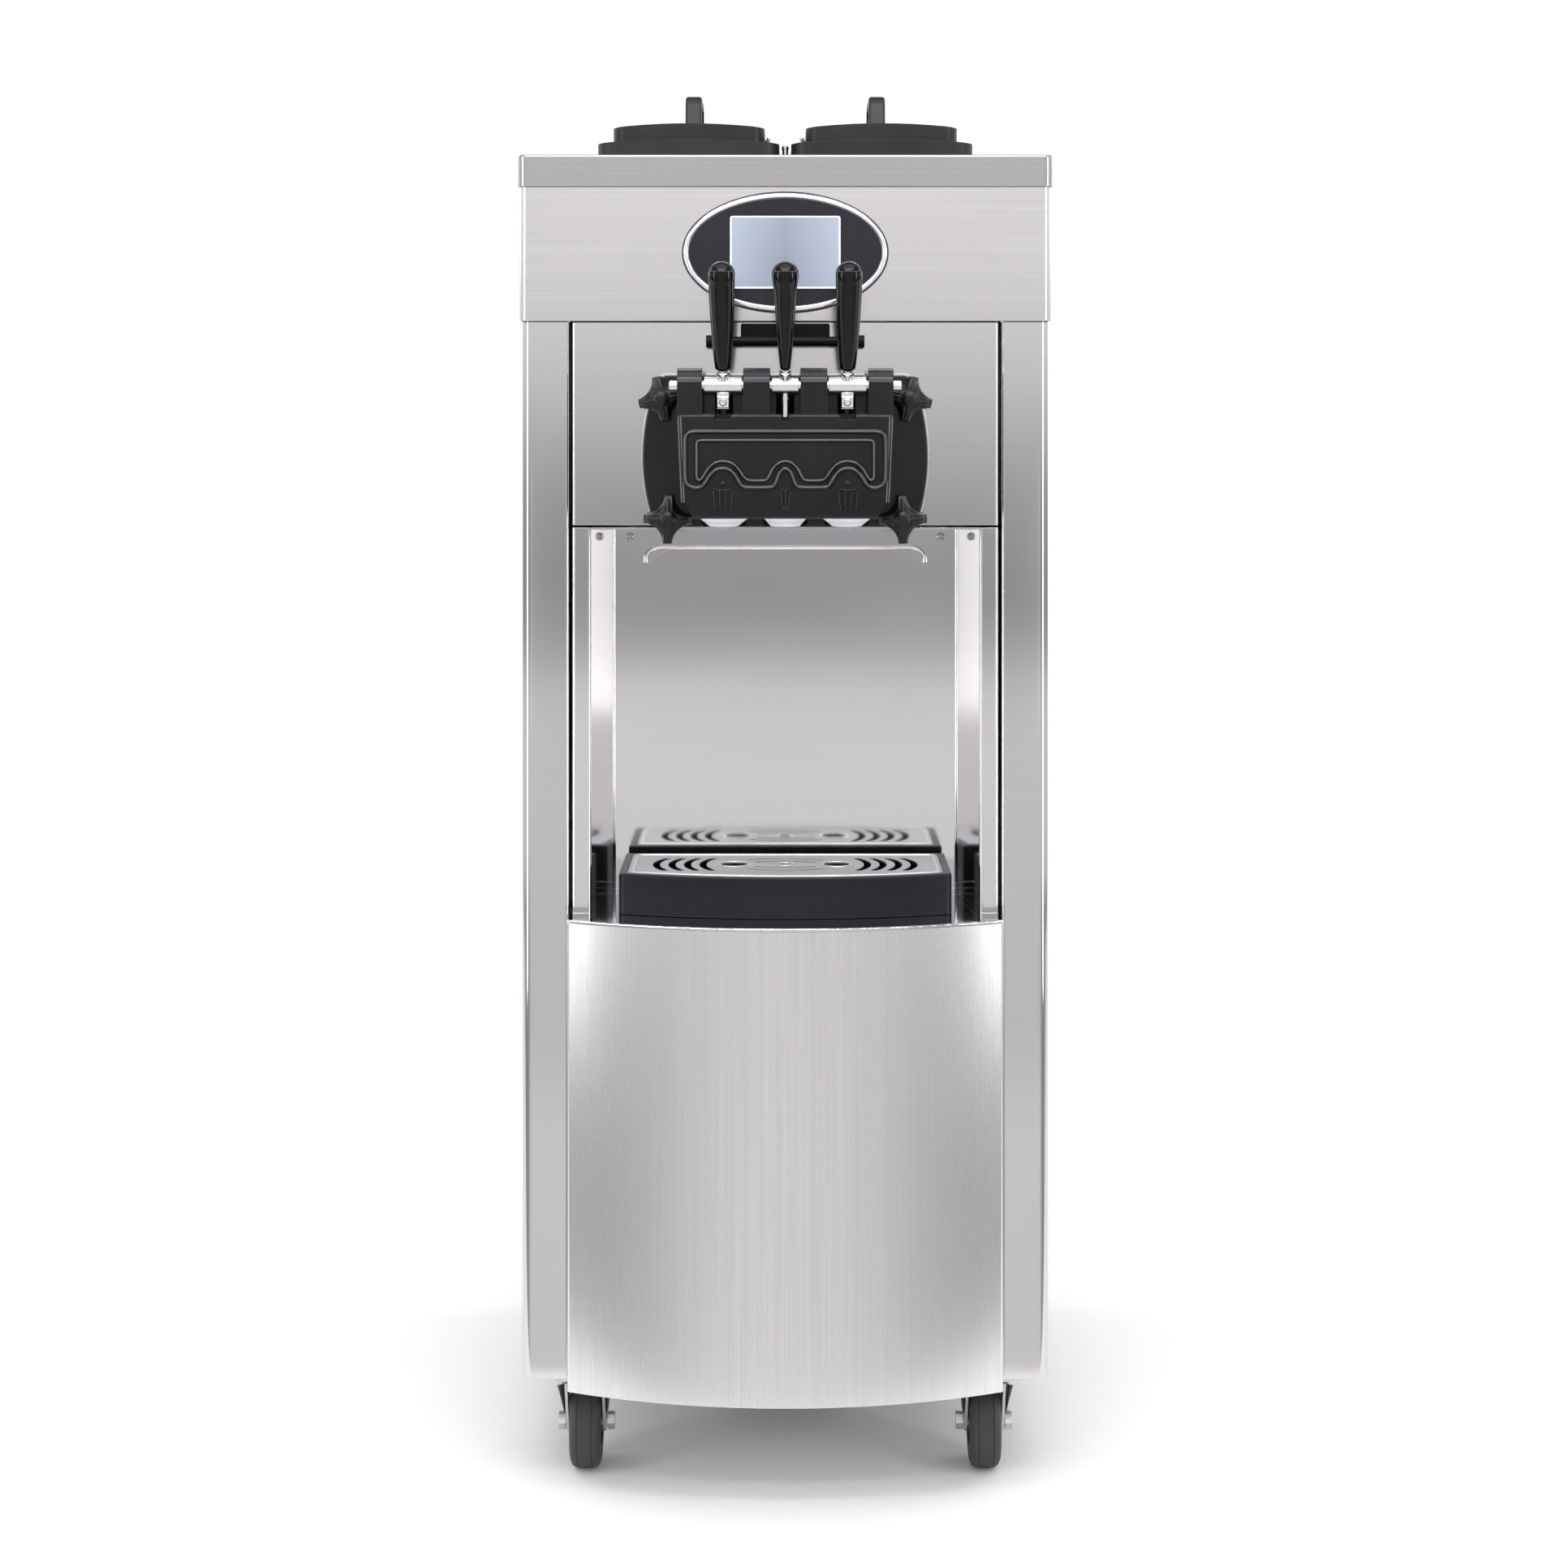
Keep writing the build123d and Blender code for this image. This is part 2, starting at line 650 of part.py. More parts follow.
fan_plane_y = 286.0
with BuildPart() as fan_motor:
    with BuildSketch(front_plane(fan_plane_y - 16)):
        with Locations((fan_x, fan_z)):
            Circle(32)
    extrude(amount=70)
    with BuildSketch(front_plane(fan_plane_y + 9)):
        with Locations((fan_x, fan_z)):
            Circle(5)
    extrude(amount=30)
    for angle in (45, 135):
        with BuildSketch(front_plane(fan_plane_y - 30)):
            with Locations((fan_x, fan_z)):
                Rectangle(300, 14, rotation=angle)
        extrude(amount=5)
    with BuildSketch(front_plane(condenser_front - 0.5)):
        with Locations((fan_x, fan_z)):
            Rectangle(270, 270)
            Circle(126, mode=Mode.SUBTRACT)
    extrude(amount=condenser_front - 0.5 - fan_plane_y + 35)
save(fan_motor, "fan_motor")

with BuildPart() as fan_blade:
    with BuildSketch(front_plane(fan_plane_y + 12)):
        with Locations((fan_x, fan_z)):
            Circle(24)
    extrude(amount=24)
    with BuildSketch(front_plane(fan_plane_y + 4)):
        with Locations((fan_x, fan_z)):
            with PolarLocations(66, 5):
                RectangleRounded(104, 52, 18)
    extrude(amount=5)
    with BuildSketch(front_plane(fan_plane_y + 9.5)):
        with Locations((fan_x, fan_z)):
            Circle(5 + running)
    extrude(amount=24, mode=Mode.SUBTRACT)
save(fan_blade, "fan_blade")

# ---- Dispensing head ----
stud_places = {
    "top_left": (-124.0, 1103.0),
    "top_right": (124.0, 1103.0),
    "bottom_left": (-117.0, 983.0),
    "bottom_right": (117.0, 983.0),
}
stud_radius = 4.0
backplate_front = front_y - 2.5


def flange_outline(grow, bottom):
    """Draw the bowed outline of the head's flange, grown outwards by a margin."""
    top_half = flange_top[0] + grow
    middle_half = flange_widest[0] + grow
    base_half_width = flange_base[0] + grow
    top = flange_top[1] + grow
    with BuildLine() as outline:
        Line((-top_half, top), (top_half, top))
        ThreePointArc((top_half, top), (middle_half, flange_widest[1]), (base_half_width, bottom))
        Line((base_half_width, bottom), (-base_half_width, bottom))
        ThreePointArc((-base_half_width, bottom), (-middle_half, flange_widest[1]), (-top_half, top))
    make_face(outline.edges())


with BuildPart() as head_backplate:
    with BuildSketch(front_plane(front_y - 0.05)) as plate_outline:
        flange_outline(2.5, bay_top + 0.2)
        fillet(plate_outline.vertices(), radius=15)
        with Locations((-barrel_pitch, barrel_z), (barrel_pitch, barrel_z)):
            Circle(barrel_radius + 0.3, mode=Mode.SUBTRACT)
    extrude(amount=front_y - backplate_front - 0.05)
    with BuildSketch(front_plane(front_y - 0.05)):
        with Locations(*stud_places.values()):
            Circle(stud_radius)
    extrude(amount=44)
save(head_backplate, "head_backplate")

bore_radius = piston_radius + running
port_z = 1004.0                              # mix ports from the barrels
channel_z = 1030.0                           # cross channels to the centre nozzle
with BuildPart() as head_body:
    with BuildSketch(front_plane(backplate_front - gasket_thickness - 0.1)) as head_outline:
        flange_outline(0, flange_base[1])
        fillet(head_outline.vertices(), radius=13)
    extrude(amount=backplate_front - gasket_thickness - 0.1 - flange_front)
    fillet(head_body.faces().sort_by(Axis.Y)[0].edges(), radius=2)
    with BuildSketch(front_plane(flange_front + 1)):
        with BuildLine():
            Polyline(
                (-block_half_top, block_top),
                (block_half_top, block_top),
                (block_half_base, block_bottom),
                (-block_half_base, block_bottom),
                close=True,
            )
        make_face()
    extrude(amount=flange_front + 1 - block_front)
    fillet(head_body.faces().sort_by(Axis.Y)[0].edges(), radius=3)
    for x_from, x_to in ((-block_half_top, -82), (-41.5, -15), (15, 41.5), (82, block_half_top)):
        web_back = flange_front if abs(x_from + x_to) / 2 < 60 else pin_y + boss_radius
        with BuildSketch(side_plane(x_from)):
            with Locations((pin_y, pin_z)):
                Circle(boss_radius)
            with BuildLine():
                Polyline(
                    (pin_y - boss_radius, pin_z),
                    (pin_y - boss_radius, block_top - 6),
                    (web_back, block_top - 6),
                    (web_back, pin_z - 8),
                    (pin_y + boss_radius, pin_z),
                    close=True,
                )
            make_face()
        extrude(amount=x_to - x_from)
    cylinder_x(-110, 110, pin_y, pin_z, pin_radius + running, Mode.SUBTRACT)
    with BuildSketch(Plane.XY.offset(block_bottom - 15)):
        with Locations(*[(x, piston_y) for x in lever_names.values()]):
            Circle(bore_radius)
    extrude(amount=block_top - block_bottom + 30, mode=Mode.SUBTRACT)
    for x, half, floor_z in ((-lever_pitch, 8, 1083), (0, 3.5, 1081), (lever_pitch, 8, 1083)):
        with BuildSketch(Plane.XY.offset(floor_z)):
            with Locations((x, -294)):
                Rectangle(2 * half, 40)
        extrude(amount=20, mode=Mode.SUBTRACT)
    with BuildSketch(front_plane(front_y)):
        with Locations((-barrel_pitch, barrel_z), (barrel_pitch, barrel_z)):
            Circle(barrel_radius - barrel_wall)
    extrude(amount=14, mode=Mode.SUBTRACT)
    with BuildSketch(front_plane(front_y)):
        with Locations((-barrel_pitch, port_z), (barrel_pitch, port_z), (-16, channel_z), (16, channel_z)):
            Circle(5)
    extrude(amount=front_y - piston_y, mode=Mode.SUBTRACT)
    cylinder_x(-18, 18, piston_y + 2, channel_z, 4.5, Mode.SUBTRACT)
    with BuildSketch(front_plane(front_y)):
        with Locations(*stud_places.values()):
            Circle(stud_radius + 0.3)
    extrude(amount=40, mode=Mode.SUBTRACT)
    with BuildSketch(Plane.XY.offset(block_bottom)):
        with Locations(*[(x, piston_y) for x in lever_names.values()]):
            Circle(24.5)
    extrude(amount=-20, mode=Mode.SUBTRACT)
    with BuildSketch(front_plane(flange_front)):
        with Locations(stud_places["bottom_left"], stud_places["bottom_right"]):
            Circle(25.3)
    extrude(amount=80, mode=Mode.SUBTRACT)
save(head_body, "head_body")

nozzle_radii = {"left": 23.5, "centre": 21.0, "right": 23.5}
cap_edge = 1.8                               # thickness of a nozzle cap at its rim
cap_spout = 14.5                             # radius a cap narrows to at its foot
cap_top = block_bottom - 0.05
with BuildPart() as nozzle_caps:
    for name, x in lever_names.items():
        with Locations((x, piston_y, cap_top - cap_edge)):
            Cylinder(nozzle_radii[name], cap_edge, align=(Align.CENTER, Align.CENTER, Align.MIN))
        with Locations((x, piston_y, nozzle_cap_bottom)):
            Cone(
                cap_spout,
                nozzle_radii[name],
                cap_top - cap_edge - nozzle_cap_bottom,
                align=(Align.CENTER, Align.CENTER, Align.MIN),
            )
            Cylinder(
                12.05,
                cap_top - nozzle_cap_bottom,
                align=(Align.CENTER, Align.CENTER, Align.MIN),
                mode=Mode.SUBTRACT,
            )
save(nozzle_caps, "nozzle_caps")

with BuildPart() as nozzle_tips:
    for name, x in lever_names.items():
        tip_radius = 12.0 if name != "centre" else 9.5
        with BuildSketch(Plane.XY.offset(nozzle_tip_bottom)):
            with Locations((x, piston_y)):
                Circle(tip_radius)
        extrude(amount=block_bottom - nozzle_tip_bottom - 0.1)
        with BuildSketch(Plane.XY.offset(nozzle_cap_bottom + 3)):
            with Locations((x, piston_y)):
                Circle(12)
        extrude(amount=block_bottom - nozzle_cap_bottom - 3.1)
        with BuildSketch(Plane.XY.offset(nozzle_tip_bottom)):
            with Locations((x, piston_y)):
                with PolarLocations(0, 3):
                    Rectangle(13, 3.5)
        extrude(amount=block_bottom - nozzle_tip_bottom, mode=Mode.SUBTRACT)
save(nozzle_tips, "nozzle_tips")

with BuildPart() as pivot_pin:
    cylinder_x(-115, 115, pin_y, pin_z, pin_radius)
    chamfer(pivot_pin.edges().filter_by(GeomType.CIRCLE), length=1)
save(pivot_pin, "pivot_pin")

bar_y = -250.0
with BuildPart() as switch_bar:
    with BuildSketch(front_plane(front_y - 0.05)):
        with Locations((0, 1167.5)):
            RectangleRounded(89.4, 23, 2)
    extrude(amount=front_y - bar_y + 3)
    cylinder_x(-79.5, 79.5, bar_y, 1161, 5)
    cylinder_x(-79.5, -74, bar_y, 1161, 6.3)
    cylinder_x(74, 79.5, bar_y, 1161, 6.3)
save(switch_bar, "switch_bar")

# ---- Draw handles ----
grip_direction = (0, -sin(radians(grip_lean)), cos(radians(grip_lean)))
grip_normal = (0, -cos(radians(grip_lean)), -sin(radians(grip_lean)))
nose_direction = (0, cos(radians(nose_drop)), -sin(radians(nose_drop)))
rod_radius = 4.0
rod_end = 62.0
nose_radius = 5.4
hub_radius = 8.75
lever_shapes = {
    "left": {"hub": (-80, -43), "tab": 12.0, "tab_drop": 23.0, "nose": 8.0, "neck": (7.6, 9.5, 11.5, 12.9)},
    "centre": {"hub": (-13, 13), "tab": 4.0, "tab_drop": 31.0, "nose": 6.0, "neck": (4.9, 6.6, 9.5, 11.2)},
    "right": {"hub": (43, 80), "tab": 12.0, "tab_drop": 23.0, "nose": 8.0, "neck": (7.6, 9.5, 11.5, 12.9)},
}
for name, x in lever_names.items():
    shape = lever_shapes[name]
    pivot = (x, pin_y, pin_z)
    with BuildPart() as lever:
        cylinder_x(*shape["hub"], pin_y, pin_z, hub_radius)
        with BuildSketch(Plane.XY.offset(pin_z - shape["tab_drop"])):
            with Locations((x, pin_y)):
                Rectangle(shape["tab"], 7)
        extrude(amount=shape["tab_drop"])
        with BuildSketch(Plane(origin=pivot, x_dir=nose_direction, z_dir=(1, 0, 0))):
            with Locations((nose_reach / 2, 0)):
                Rectangle(nose_reach, 4)
            with Locations((nose_reach, 0)):
                Circle(nose_radius)
        extrude(amount=shape["nose"] / 2, both=True)
        with BuildSketch(Plane(origin=pivot, x_dir=(1, 0, 0), z_dir=grip_direction)):
            Circle(rod_radius)
        extrude(amount=rod_end)
        cylinder_x(*shape["hub"], pin_y, pin_z, pin_radius + running, Mode.SUBTRACT)
    save(lever, f"lever_{name}")

    low, mid, high, shoulder = shape["neck"]
    with BuildPart() as grip:
        with BuildSketch(Plane(origin=pivot, x_dir=(1, 0, 0), z_dir=grip_normal)):
            with BuildLine():
                Spline((low, 19), (mid, 38.5), (high, 75), (shoulder, 112))
                Polyline((shoulder, 112), (shoulder, grip_length), (0, grip_length), (0, 19), (low, 19))
            make_face()
        revolve(axis=Axis(pivot, grip_direction))
        with Locations(Vector(*pivot) + Vector(*grip_direction) * grip_length):
            Sphere(ball_radius)
        with BuildSketch(Plane(origin=pivot, x_dir=(1, 0, 0), z_dir=grip_direction)):
            Circle(rod_radius + running)
        extrude(amount=rod_end + 1, mode=Mode.SUBTRACT)
    save(grip, f"grip_{name}")

    slot_half_height = nose_radius + 0.8
    with BuildPart() as draw_piston:
        with BuildSketch(Plane.XY.offset(block_bottom + 2)):
            with Locations((x, piston_y)):
                Circle(piston_radius)
        extrude(amount=nose_z + slot_half_height + 5 - block_bottom - 2)
        chamfer(draw_piston.edges().filter_by(GeomType.CIRCLE), length=1)
        with BuildSketch(front_plane(piston_y + 15)):
            with Locations((x, nose_z)):
                Rectangle(shape["nose"] + 1, 2 * slot_half_height)
        extrude(amount=30, mode=Mode.SUBTRACT)
        for groove_z in (block_bottom + 12, block_bottom + 75):
            with BuildSketch(Plane.XY.offset(groove_z)):
                with Locations((x, piston_y)):
                    Circle(piston_radius + 1)
                    Circle(piston_radius - 1.5, mode=Mode.SUBTRACT)
            extrude(amount=3, mode=Mode.SUBTRACT)
    save(draw_piston, f"draw_piston_{name}")

knob_tip = 4.5
knob_waist = 14.5
knob_turn = {"top_left": -12, "top_right": 12, "bottom_left": 2, "bottom_right": -2}
for name, place in stud_places.items():
    knob_radius = 22.7 if name.startswith("top") else 24.5
    with BuildPart() as star_knob:
        with BuildSketch(Plane.XZ) as star:
            with BuildLine():
                for quarter in range(4):
                    tip = Vector(knob_radius, -knob_tip).rotate(Axis.Z, 90 * quarter)
                    tip_end = Vector(knob_radius, knob_tip).rotate(Axis.Z, 90 * quarter)
                    waist = Vector(knob_waist, 0).rotate(Axis.Z, 90 * quarter + 45)
                    next_tip = Vector(knob_radius, -knob_tip).rotate(Axis.Z, 90 * quarter + 90)
                    Line(tip, tip_end)
                    ThreePointArc(tip_end, waist, next_tip)
            make_face()
            fillet(star.vertices(), radius=1.5)
        extrude(amount=13)
        fillet(star_knob.faces().sort_by(Axis.Y)[0].edges(), radius=2)
        with BuildSketch(Plane.XZ.offset(-6.2)):
            Circle(8.5)
        extrude(amount=25)
        fillet(star_knob.faces().sort_by(Axis.Y)[0].edges(), radius=3)
        with BuildSketch(Plane.XZ.offset(-6.3)):
            Circle(stud_radius + running)
        extrude(amount=20.5, mode=Mode.SUBTRACT)
    with BuildPart() as placed_knob:
        with Locations(Location((place[0], flange_front - 6.8, place[1]), (0, knob_turn[name], 0))):
            add(star_knob.part)
    save(placed_knob, f"star_knob_{name}")

# ---- Drip tray ----


def inset_outline(inset):
    """Draw the tray's bowed outline, moved in from its edge."""
    bowed_outline(tray_half - inset, tray_edge_y + 0.85 * inset, tray_crown_y + inset, tray_rear - inset)


tray_bottom = bay_floor + tray_lift
tray_top = tray_bottom + tray_height
grille_thickness = 2.5
with BuildPart() as drip_tray:
    with BuildSketch(Plane.XY.offset(tray_bottom)) as tray_outline:
        bowed_outline(tray_half, tray_edge_y, tray_crown_y, tray_rear)
        fillet(tray_outline.vertices().group_by(Axis.Y)[0], radius=7)
    extrude(amount=tray_height)
    fillet(drip_tray.faces().sort_by(Axis.Z)[-1].edges(), radius=2)
    with BuildSketch(Plane.XY.offset(tray_bottom + 3)) as well:
        inset_outline(grille_inset + 7)
        fillet(well.vertices(), radius=6)
    extrude(amount=tray_height, mode=Mode.SUBTRACT)
    with BuildSketch(Plane.XY.offset(tray_top - grille_thickness - 0.3)) as seat:
        inset_outline(grille_inset - 0.5)
        fillet(seat.vertices(), radius=5)
    extrude(amount=tray_height, mode=Mode.SUBTRACT)
save(drip_tray, "drip_tray")

grille_bottom = tray_top - grille_thickness
grille_mid_y = -176.0
slot_xs = (75, 91, 107, 123)
slot_reach = 36
slot_bulge = 10
cup_hole_x = 53
with BuildPart() as drip_grille:
    with BuildSketch(Plane.XY.offset(grille_bottom)) as grille_outline:
        inset_outline(grille_inset)
        fillet(grille_outline.vertices(), radius=4.5)
        with Locations((-cup_hole_x, grille_mid_y), (cup_hole_x, grille_mid_y)):
            Circle(13, mode=Mode.SUBTRACT)
        with Locations((0, grille_mid_y)):
            Circle(6, mode=Mode.SUBTRACT)
    extrude(amount=grille_thickness)
    for side in (-1, 1):
        for slot_x in slot_xs:
            bulge = ThreePointArc(
                (side * slot_x, grille_mid_y - slot_reach),
                (side * (slot_x + slot_bulge), grille_mid_y),
                (side * slot_x, grille_mid_y + slot_reach),
                mode=Mode.PRIVATE,
            )
            with BuildSketch(Plane.XY.offset(grille_bottom)):
                SlotArc(bulge, 7.5)
            extrude(amount=grille_thickness, mode=Mode.SUBTRACT)
        for reach, near, far in ((30, 14, 20), (38, 28, 36)):
            sweep_line = ThreePointArc(
                (-reach, grille_mid_y + side * near),
                (0, grille_mid_y + side * far),
                (reach, grille_mid_y + side * near),
                mode=Mode.PRIVATE,
            )
            with BuildSketch(Plane.XY.offset(grille_bottom)):
                SlotArc(sweep_line, 4.5)
            extrude(amount=grille_thickness, mode=Mode.SUBTRACT)
save(drip_grille, "drip_grille")

# ---- Casters ----
plate_thickness = 4.0
kingpin_radius = 6.0
axle_radius = 5.0
with BuildPart() as caster_plates:
    for plate_y in caster_ys.values():
        with BuildSketch(Plane.XY.offset(cabinet_bottom - plate_thickness - 0.05)):
            with Locations((-caster_x, plate_y), (caster_x, plate_y)):
                RectangleRounded(66, 66, 6)
                Circle(kingpin_radius + running, mode=Mode.SUBTRACT)
        extrude(amount=plate_thickness)
        with BuildSketch(Plane.XY.offset(cabinet_bottom - plate_thickness - 4)):
            with Locations((-caster_x, plate_y), (caster_x, plate_y)):
                with GridLocations(50, 50, 2, 2):
                    Circle(5)
        extrude(amount=4)
save(caster_plates, "caster_plates")

fork_top = cabinet_bottom - plate_thickness - 1
fork_inner = wheel_width / 2 + 1.5
fork_sheet = 3.0
for row, pivot_y in caster_ys.items():
    for side, side_name in ((-1, "left"), (1, "right")):
        x = side * caster_x
        axle_y = pivot_y + caster_trail
        with BuildPart() as caster_fork:
            with BuildSketch(Plane.XY.offset(fork_top - 7)):
                with Locations((x, pivot_y)):
                    Circle(24)
            extrude(amount=7)
            with BuildSketch(Plane.XY.offset(fork_top - 1)):
                with Locations((x, pivot_y)):
                    Circle(kingpin_radius)
            extrude(amount=5.5)
            for wall_from in (x - fork_inner - fork_sheet, x + fork_inner):
                with BuildSketch(side_plane(wall_from)):
                    with BuildLine():
                        Polyline(
                            (pivot_y - 16, fork_top - 1),
                            (pivot_y + 16, fork_top - 1),
                            (axle_y + 11, wheel_radius + 4),
                            (axle_y, wheel_radius - 11),
                            (axle_y - 10, wheel_radius - 5),
                            close=True,
                        )
                    make_face()
                extrude(amount=fork_sheet)
            cylinder_x(x - 29, x + 29, axle_y, wheel_radius, axle_radius)
            for nut_from in (x - 29, x + 21.6):
                with BuildSketch(side_plane(nut_from)):
                    with Locations((axle_y, wheel_radius)):
                        RegularPolygon(9, 6)
                extrude(amount=7.4)
        save(caster_fork, f"caster_fork_{row}_{side_name}")

        with BuildPart() as caster_wheel:
            with BuildSketch(side_plane(x - wheel_width / 2)):
                with Locations((axle_y, wheel_radius)):
                    Circle(wheel_radius)
            extrude(amount=wheel_width)
            fillet(caster_wheel.edges().filter_by(GeomType.CIRCLE), radius=6)
            for groove_from in (x - wheel_width / 2, x + wheel_width / 2 - 3):
                with BuildSketch(side_plane(groove_from)):
                    with Locations((axle_y, wheel_radius)):
                        Circle(24)
                        Circle(12, mode=Mode.SUBTRACT)
                extrude(amount=3, mode=Mode.SUBTRACT)
            cylinder_x(x - 20, x + 20, axle_y, wheel_radius, axle_radius + running, Mode.SUBTRACT)
        save(caster_wheel, f"caster_wheel_{row}_{side_name}")
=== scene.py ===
"""Soft-serve ice cream machine: finishes, moulded details, studio and camera around its fixed frame."""

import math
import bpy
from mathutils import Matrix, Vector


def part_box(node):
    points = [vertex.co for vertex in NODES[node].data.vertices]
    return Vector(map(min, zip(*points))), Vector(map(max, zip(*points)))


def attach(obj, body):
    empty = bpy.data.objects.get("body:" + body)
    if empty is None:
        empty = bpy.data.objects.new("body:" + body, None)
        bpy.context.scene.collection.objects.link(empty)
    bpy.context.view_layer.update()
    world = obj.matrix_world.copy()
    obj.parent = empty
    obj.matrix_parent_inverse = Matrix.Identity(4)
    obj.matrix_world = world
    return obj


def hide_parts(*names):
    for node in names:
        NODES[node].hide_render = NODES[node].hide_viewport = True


bl_info = {
    "name": "Soft-Serve Machine Finishes",
    "version": (1, 0, 0),
    "blender": (4, 5, 0),
    "location": "3D View > Sidebar > Soft Serve",
    "description": "Dresses a soft-serve machine's fixed frame with finishes, mouldings and studio light",
    "category": "Object",
}

import bmesh
import bpy
from bpy.props import FloatProperty, FloatVectorProperty, PointerProperty
from mathutils import Matrix, Vector

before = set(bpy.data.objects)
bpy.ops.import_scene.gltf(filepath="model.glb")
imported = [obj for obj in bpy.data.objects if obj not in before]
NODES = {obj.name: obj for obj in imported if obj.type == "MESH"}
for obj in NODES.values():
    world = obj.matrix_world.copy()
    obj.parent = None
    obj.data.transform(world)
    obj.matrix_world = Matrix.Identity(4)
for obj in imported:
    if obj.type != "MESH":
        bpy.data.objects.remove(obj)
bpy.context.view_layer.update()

SIDES = {"left": -1, "right": 1}
HANDLES = ("left", "centre", "right")
HEAD_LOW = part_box("head_body")[0]
HOOD_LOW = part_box("hood")[0]
SCREEN_LOW, SCREEN_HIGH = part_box("display_screen")
REAR_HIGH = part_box("rear_panel")[1]
MM = 0.001
NOZZLE_PLACES = {"left": -61.5, "centre": 0.0, "right": 61.5}
GRILLE_HOLES = ((-0.053, 0.0158), (0.053, 0.0158), (0.0, 0.0083))
GRILLE_HOLE_Y = -0.176
OUTWARD = Vector((0, -1, 0))
UP = Vector((0, 0, 1))


# ---------------------------------------------------------------- settings


def colour(label, default, note):
    """A colour setting shown as a swatch."""
    return FloatVectorProperty(name=label, description=note, default=default, size=3, subtype="COLOR", min=0,
                               max=1)


def length(label, default, note):
    """A length setting in metres."""
    return FloatProperty(name=label, description=note, default=default, min=0, unit="LENGTH", precision=4)


def factor(label, default, note):
    """A plain 0 to 1 setting."""
    return FloatProperty(name=label, description=note, default=default, min=0, max=1, subtype="FACTOR")


class SteelSettings(bpy.types.PropertyGroup):
    """Colours and grain of the stainless steel."""

    tint: colour("Steel", (0.66, 0.645, 0.655), "Colour of the brushed stainless steel")
    dark_tint: colour("Counter steel", (0.46, 0.45, 0.455), "Colour of the counter's coarser brushed edge")
    door_tint: colour("Door steel", (0.79, 0.775, 0.78), "Colour of the door's upright brushing")
    polish_tint: colour("Polished steel", (0.76, 0.745, 0.76), "Colour of the polished bay")
    grain: factor("Grain", 0.5, "How strongly the brushing marks show")


class PlasticSettings(bpy.types.PropertyGroup):
    """Colours of the moulded parts."""

    black: colour("Black", (0.004, 0.004, 0.0055), "Colour of the moulded black parts")
    bezel: colour("Bezel", (0.007, 0.007, 0.010), "Colour of the oval display panel")
    white: colour("White", (0.85, 0.86, 0.87), "Colour of the nozzle discs and pistons")
    # Pale colour of the crest lines: a highlight painted along the tops of the head's raised lines.
    crest: colour("Painted crest highlight", (0.065, 0.065, 0.072), "Colour of the head's raised lines where they shine")
    rubber: colour("Rubber", (0.030, 0.028, 0.028), "Colour of the wheel treads")


class DisplaySettings(bpy.types.PropertyGroup):
    """The lit screen."""

    glow: colour("Screen", (0.285, 0.325, 0.405), "Colour of the idle screen")
    border: colour("Border", (0.62, 0.66, 0.72), "Colour of the line round the screen")
    border_width: length("Border width", 0.0016, "Width of the line round the screen")


class ReliefSettings(bpy.types.PropertyGroup):
    """The raised lines on the head's front face."""

    ridge_radius: length("Ridge radius", 0.0030, "Half the width of a raised line")
    side_half: length("Half width", 0.0987, "Half the width of the outer raised frame")
    ridge_height: length("Ridge height", 0.0030, "How far a raised line stands out")
    # The crest lines are thin pale beads on the ridge tops that paint a highlight; this is their half width.
    crest_highlight_radius: length("Crest radius", 0.0008, "Half the width of a raised line's worn top")


class StudioSettings(bpy.types.PropertyGroup):
    """Light, floor and camera."""

    camera_distance: length("Camera distance", 2.951, "Distance from the machine's centre to the camera")
    camera_height: length("Camera height", 1.080, "Height of the camera over the floor")
    lens: FloatProperty(name="Lens", description="Focal length in millimetres", default=61.7, min=10)
    top_power: FloatProperty(name="Top light", description="Power of the overhead light", default=22.0,
                             unit="POWER")
    strip_power: FloatProperty(name="Side strips", description="Power of each side light", default=11.0,
                               unit="POWER")
    fill_power: FloatProperty(name="Front fill", description="Power of each front light", default=0.42,
                              unit="POWER")
    floor: colour("Floor", (0.93, 0.93, 0.93), "Colour of the floor")


# ---------------------------------------------------------------- shared shader groups


def new_group(label, inputs, outputs):
    """Make an empty shader node group and return it with its input and output nodes."""
    tree = bpy.data.node_groups.new(label, "ShaderNodeTree")
    for name, kind, default in inputs:
        tree.interface.new_socket(name=name, in_out="INPUT", socket_type=kind).default_value = default
    for name, kind in outputs:
        tree.interface.new_socket(name=name, in_out="OUTPUT", socket_type=kind)
    return tree, tree.nodes.new("NodeGroupInput"), tree.nodes.new("NodeGroupOutput")


def math_node(tree, operation, first, second, clamp=False):
    """Add a Math node whose operands are sockets or numbers, and return its output."""
    node = tree.nodes.new("ShaderNodeMath")
    node.operation = operation
    node.use_clamp = clamp
    for index, operand in enumerate((first, second)):
        if isinstance(operand, (int, float)):
            node.inputs[index].default_value = operand
        else:
            tree.links.new(operand, node.inputs[index])
    return node.outputs[0]


def noise(tree, vector, scale, detail=3.0, roughness=0.55):
    """Add a noise texture read along a vector, and return its value."""
    node = tree.nodes.new("ShaderNodeTexNoise")
    node.inputs["Scale"].default_value = scale
    node.inputs["Detail"].default_value = detail
    node.inputs["Roughness"].default_value = roughness
    tree.links.new(vector, node.inputs["Vector"])
    return node.outputs["Fac"]


def remap(tree, value, low, high):
    """Spread a noise value round 0.5 over low to high."""
    node = tree.nodes.new("ShaderNodeMapRange")
    node.inputs["From Min"].default_value = 0.3
    node.inputs["From Max"].default_value = 0.7
    node.inputs["To Min"].default_value = low
    node.inputs["To Max"].default_value = high
    tree.links.new(value, node.inputs["Value"])
    return node.outputs["Result"]


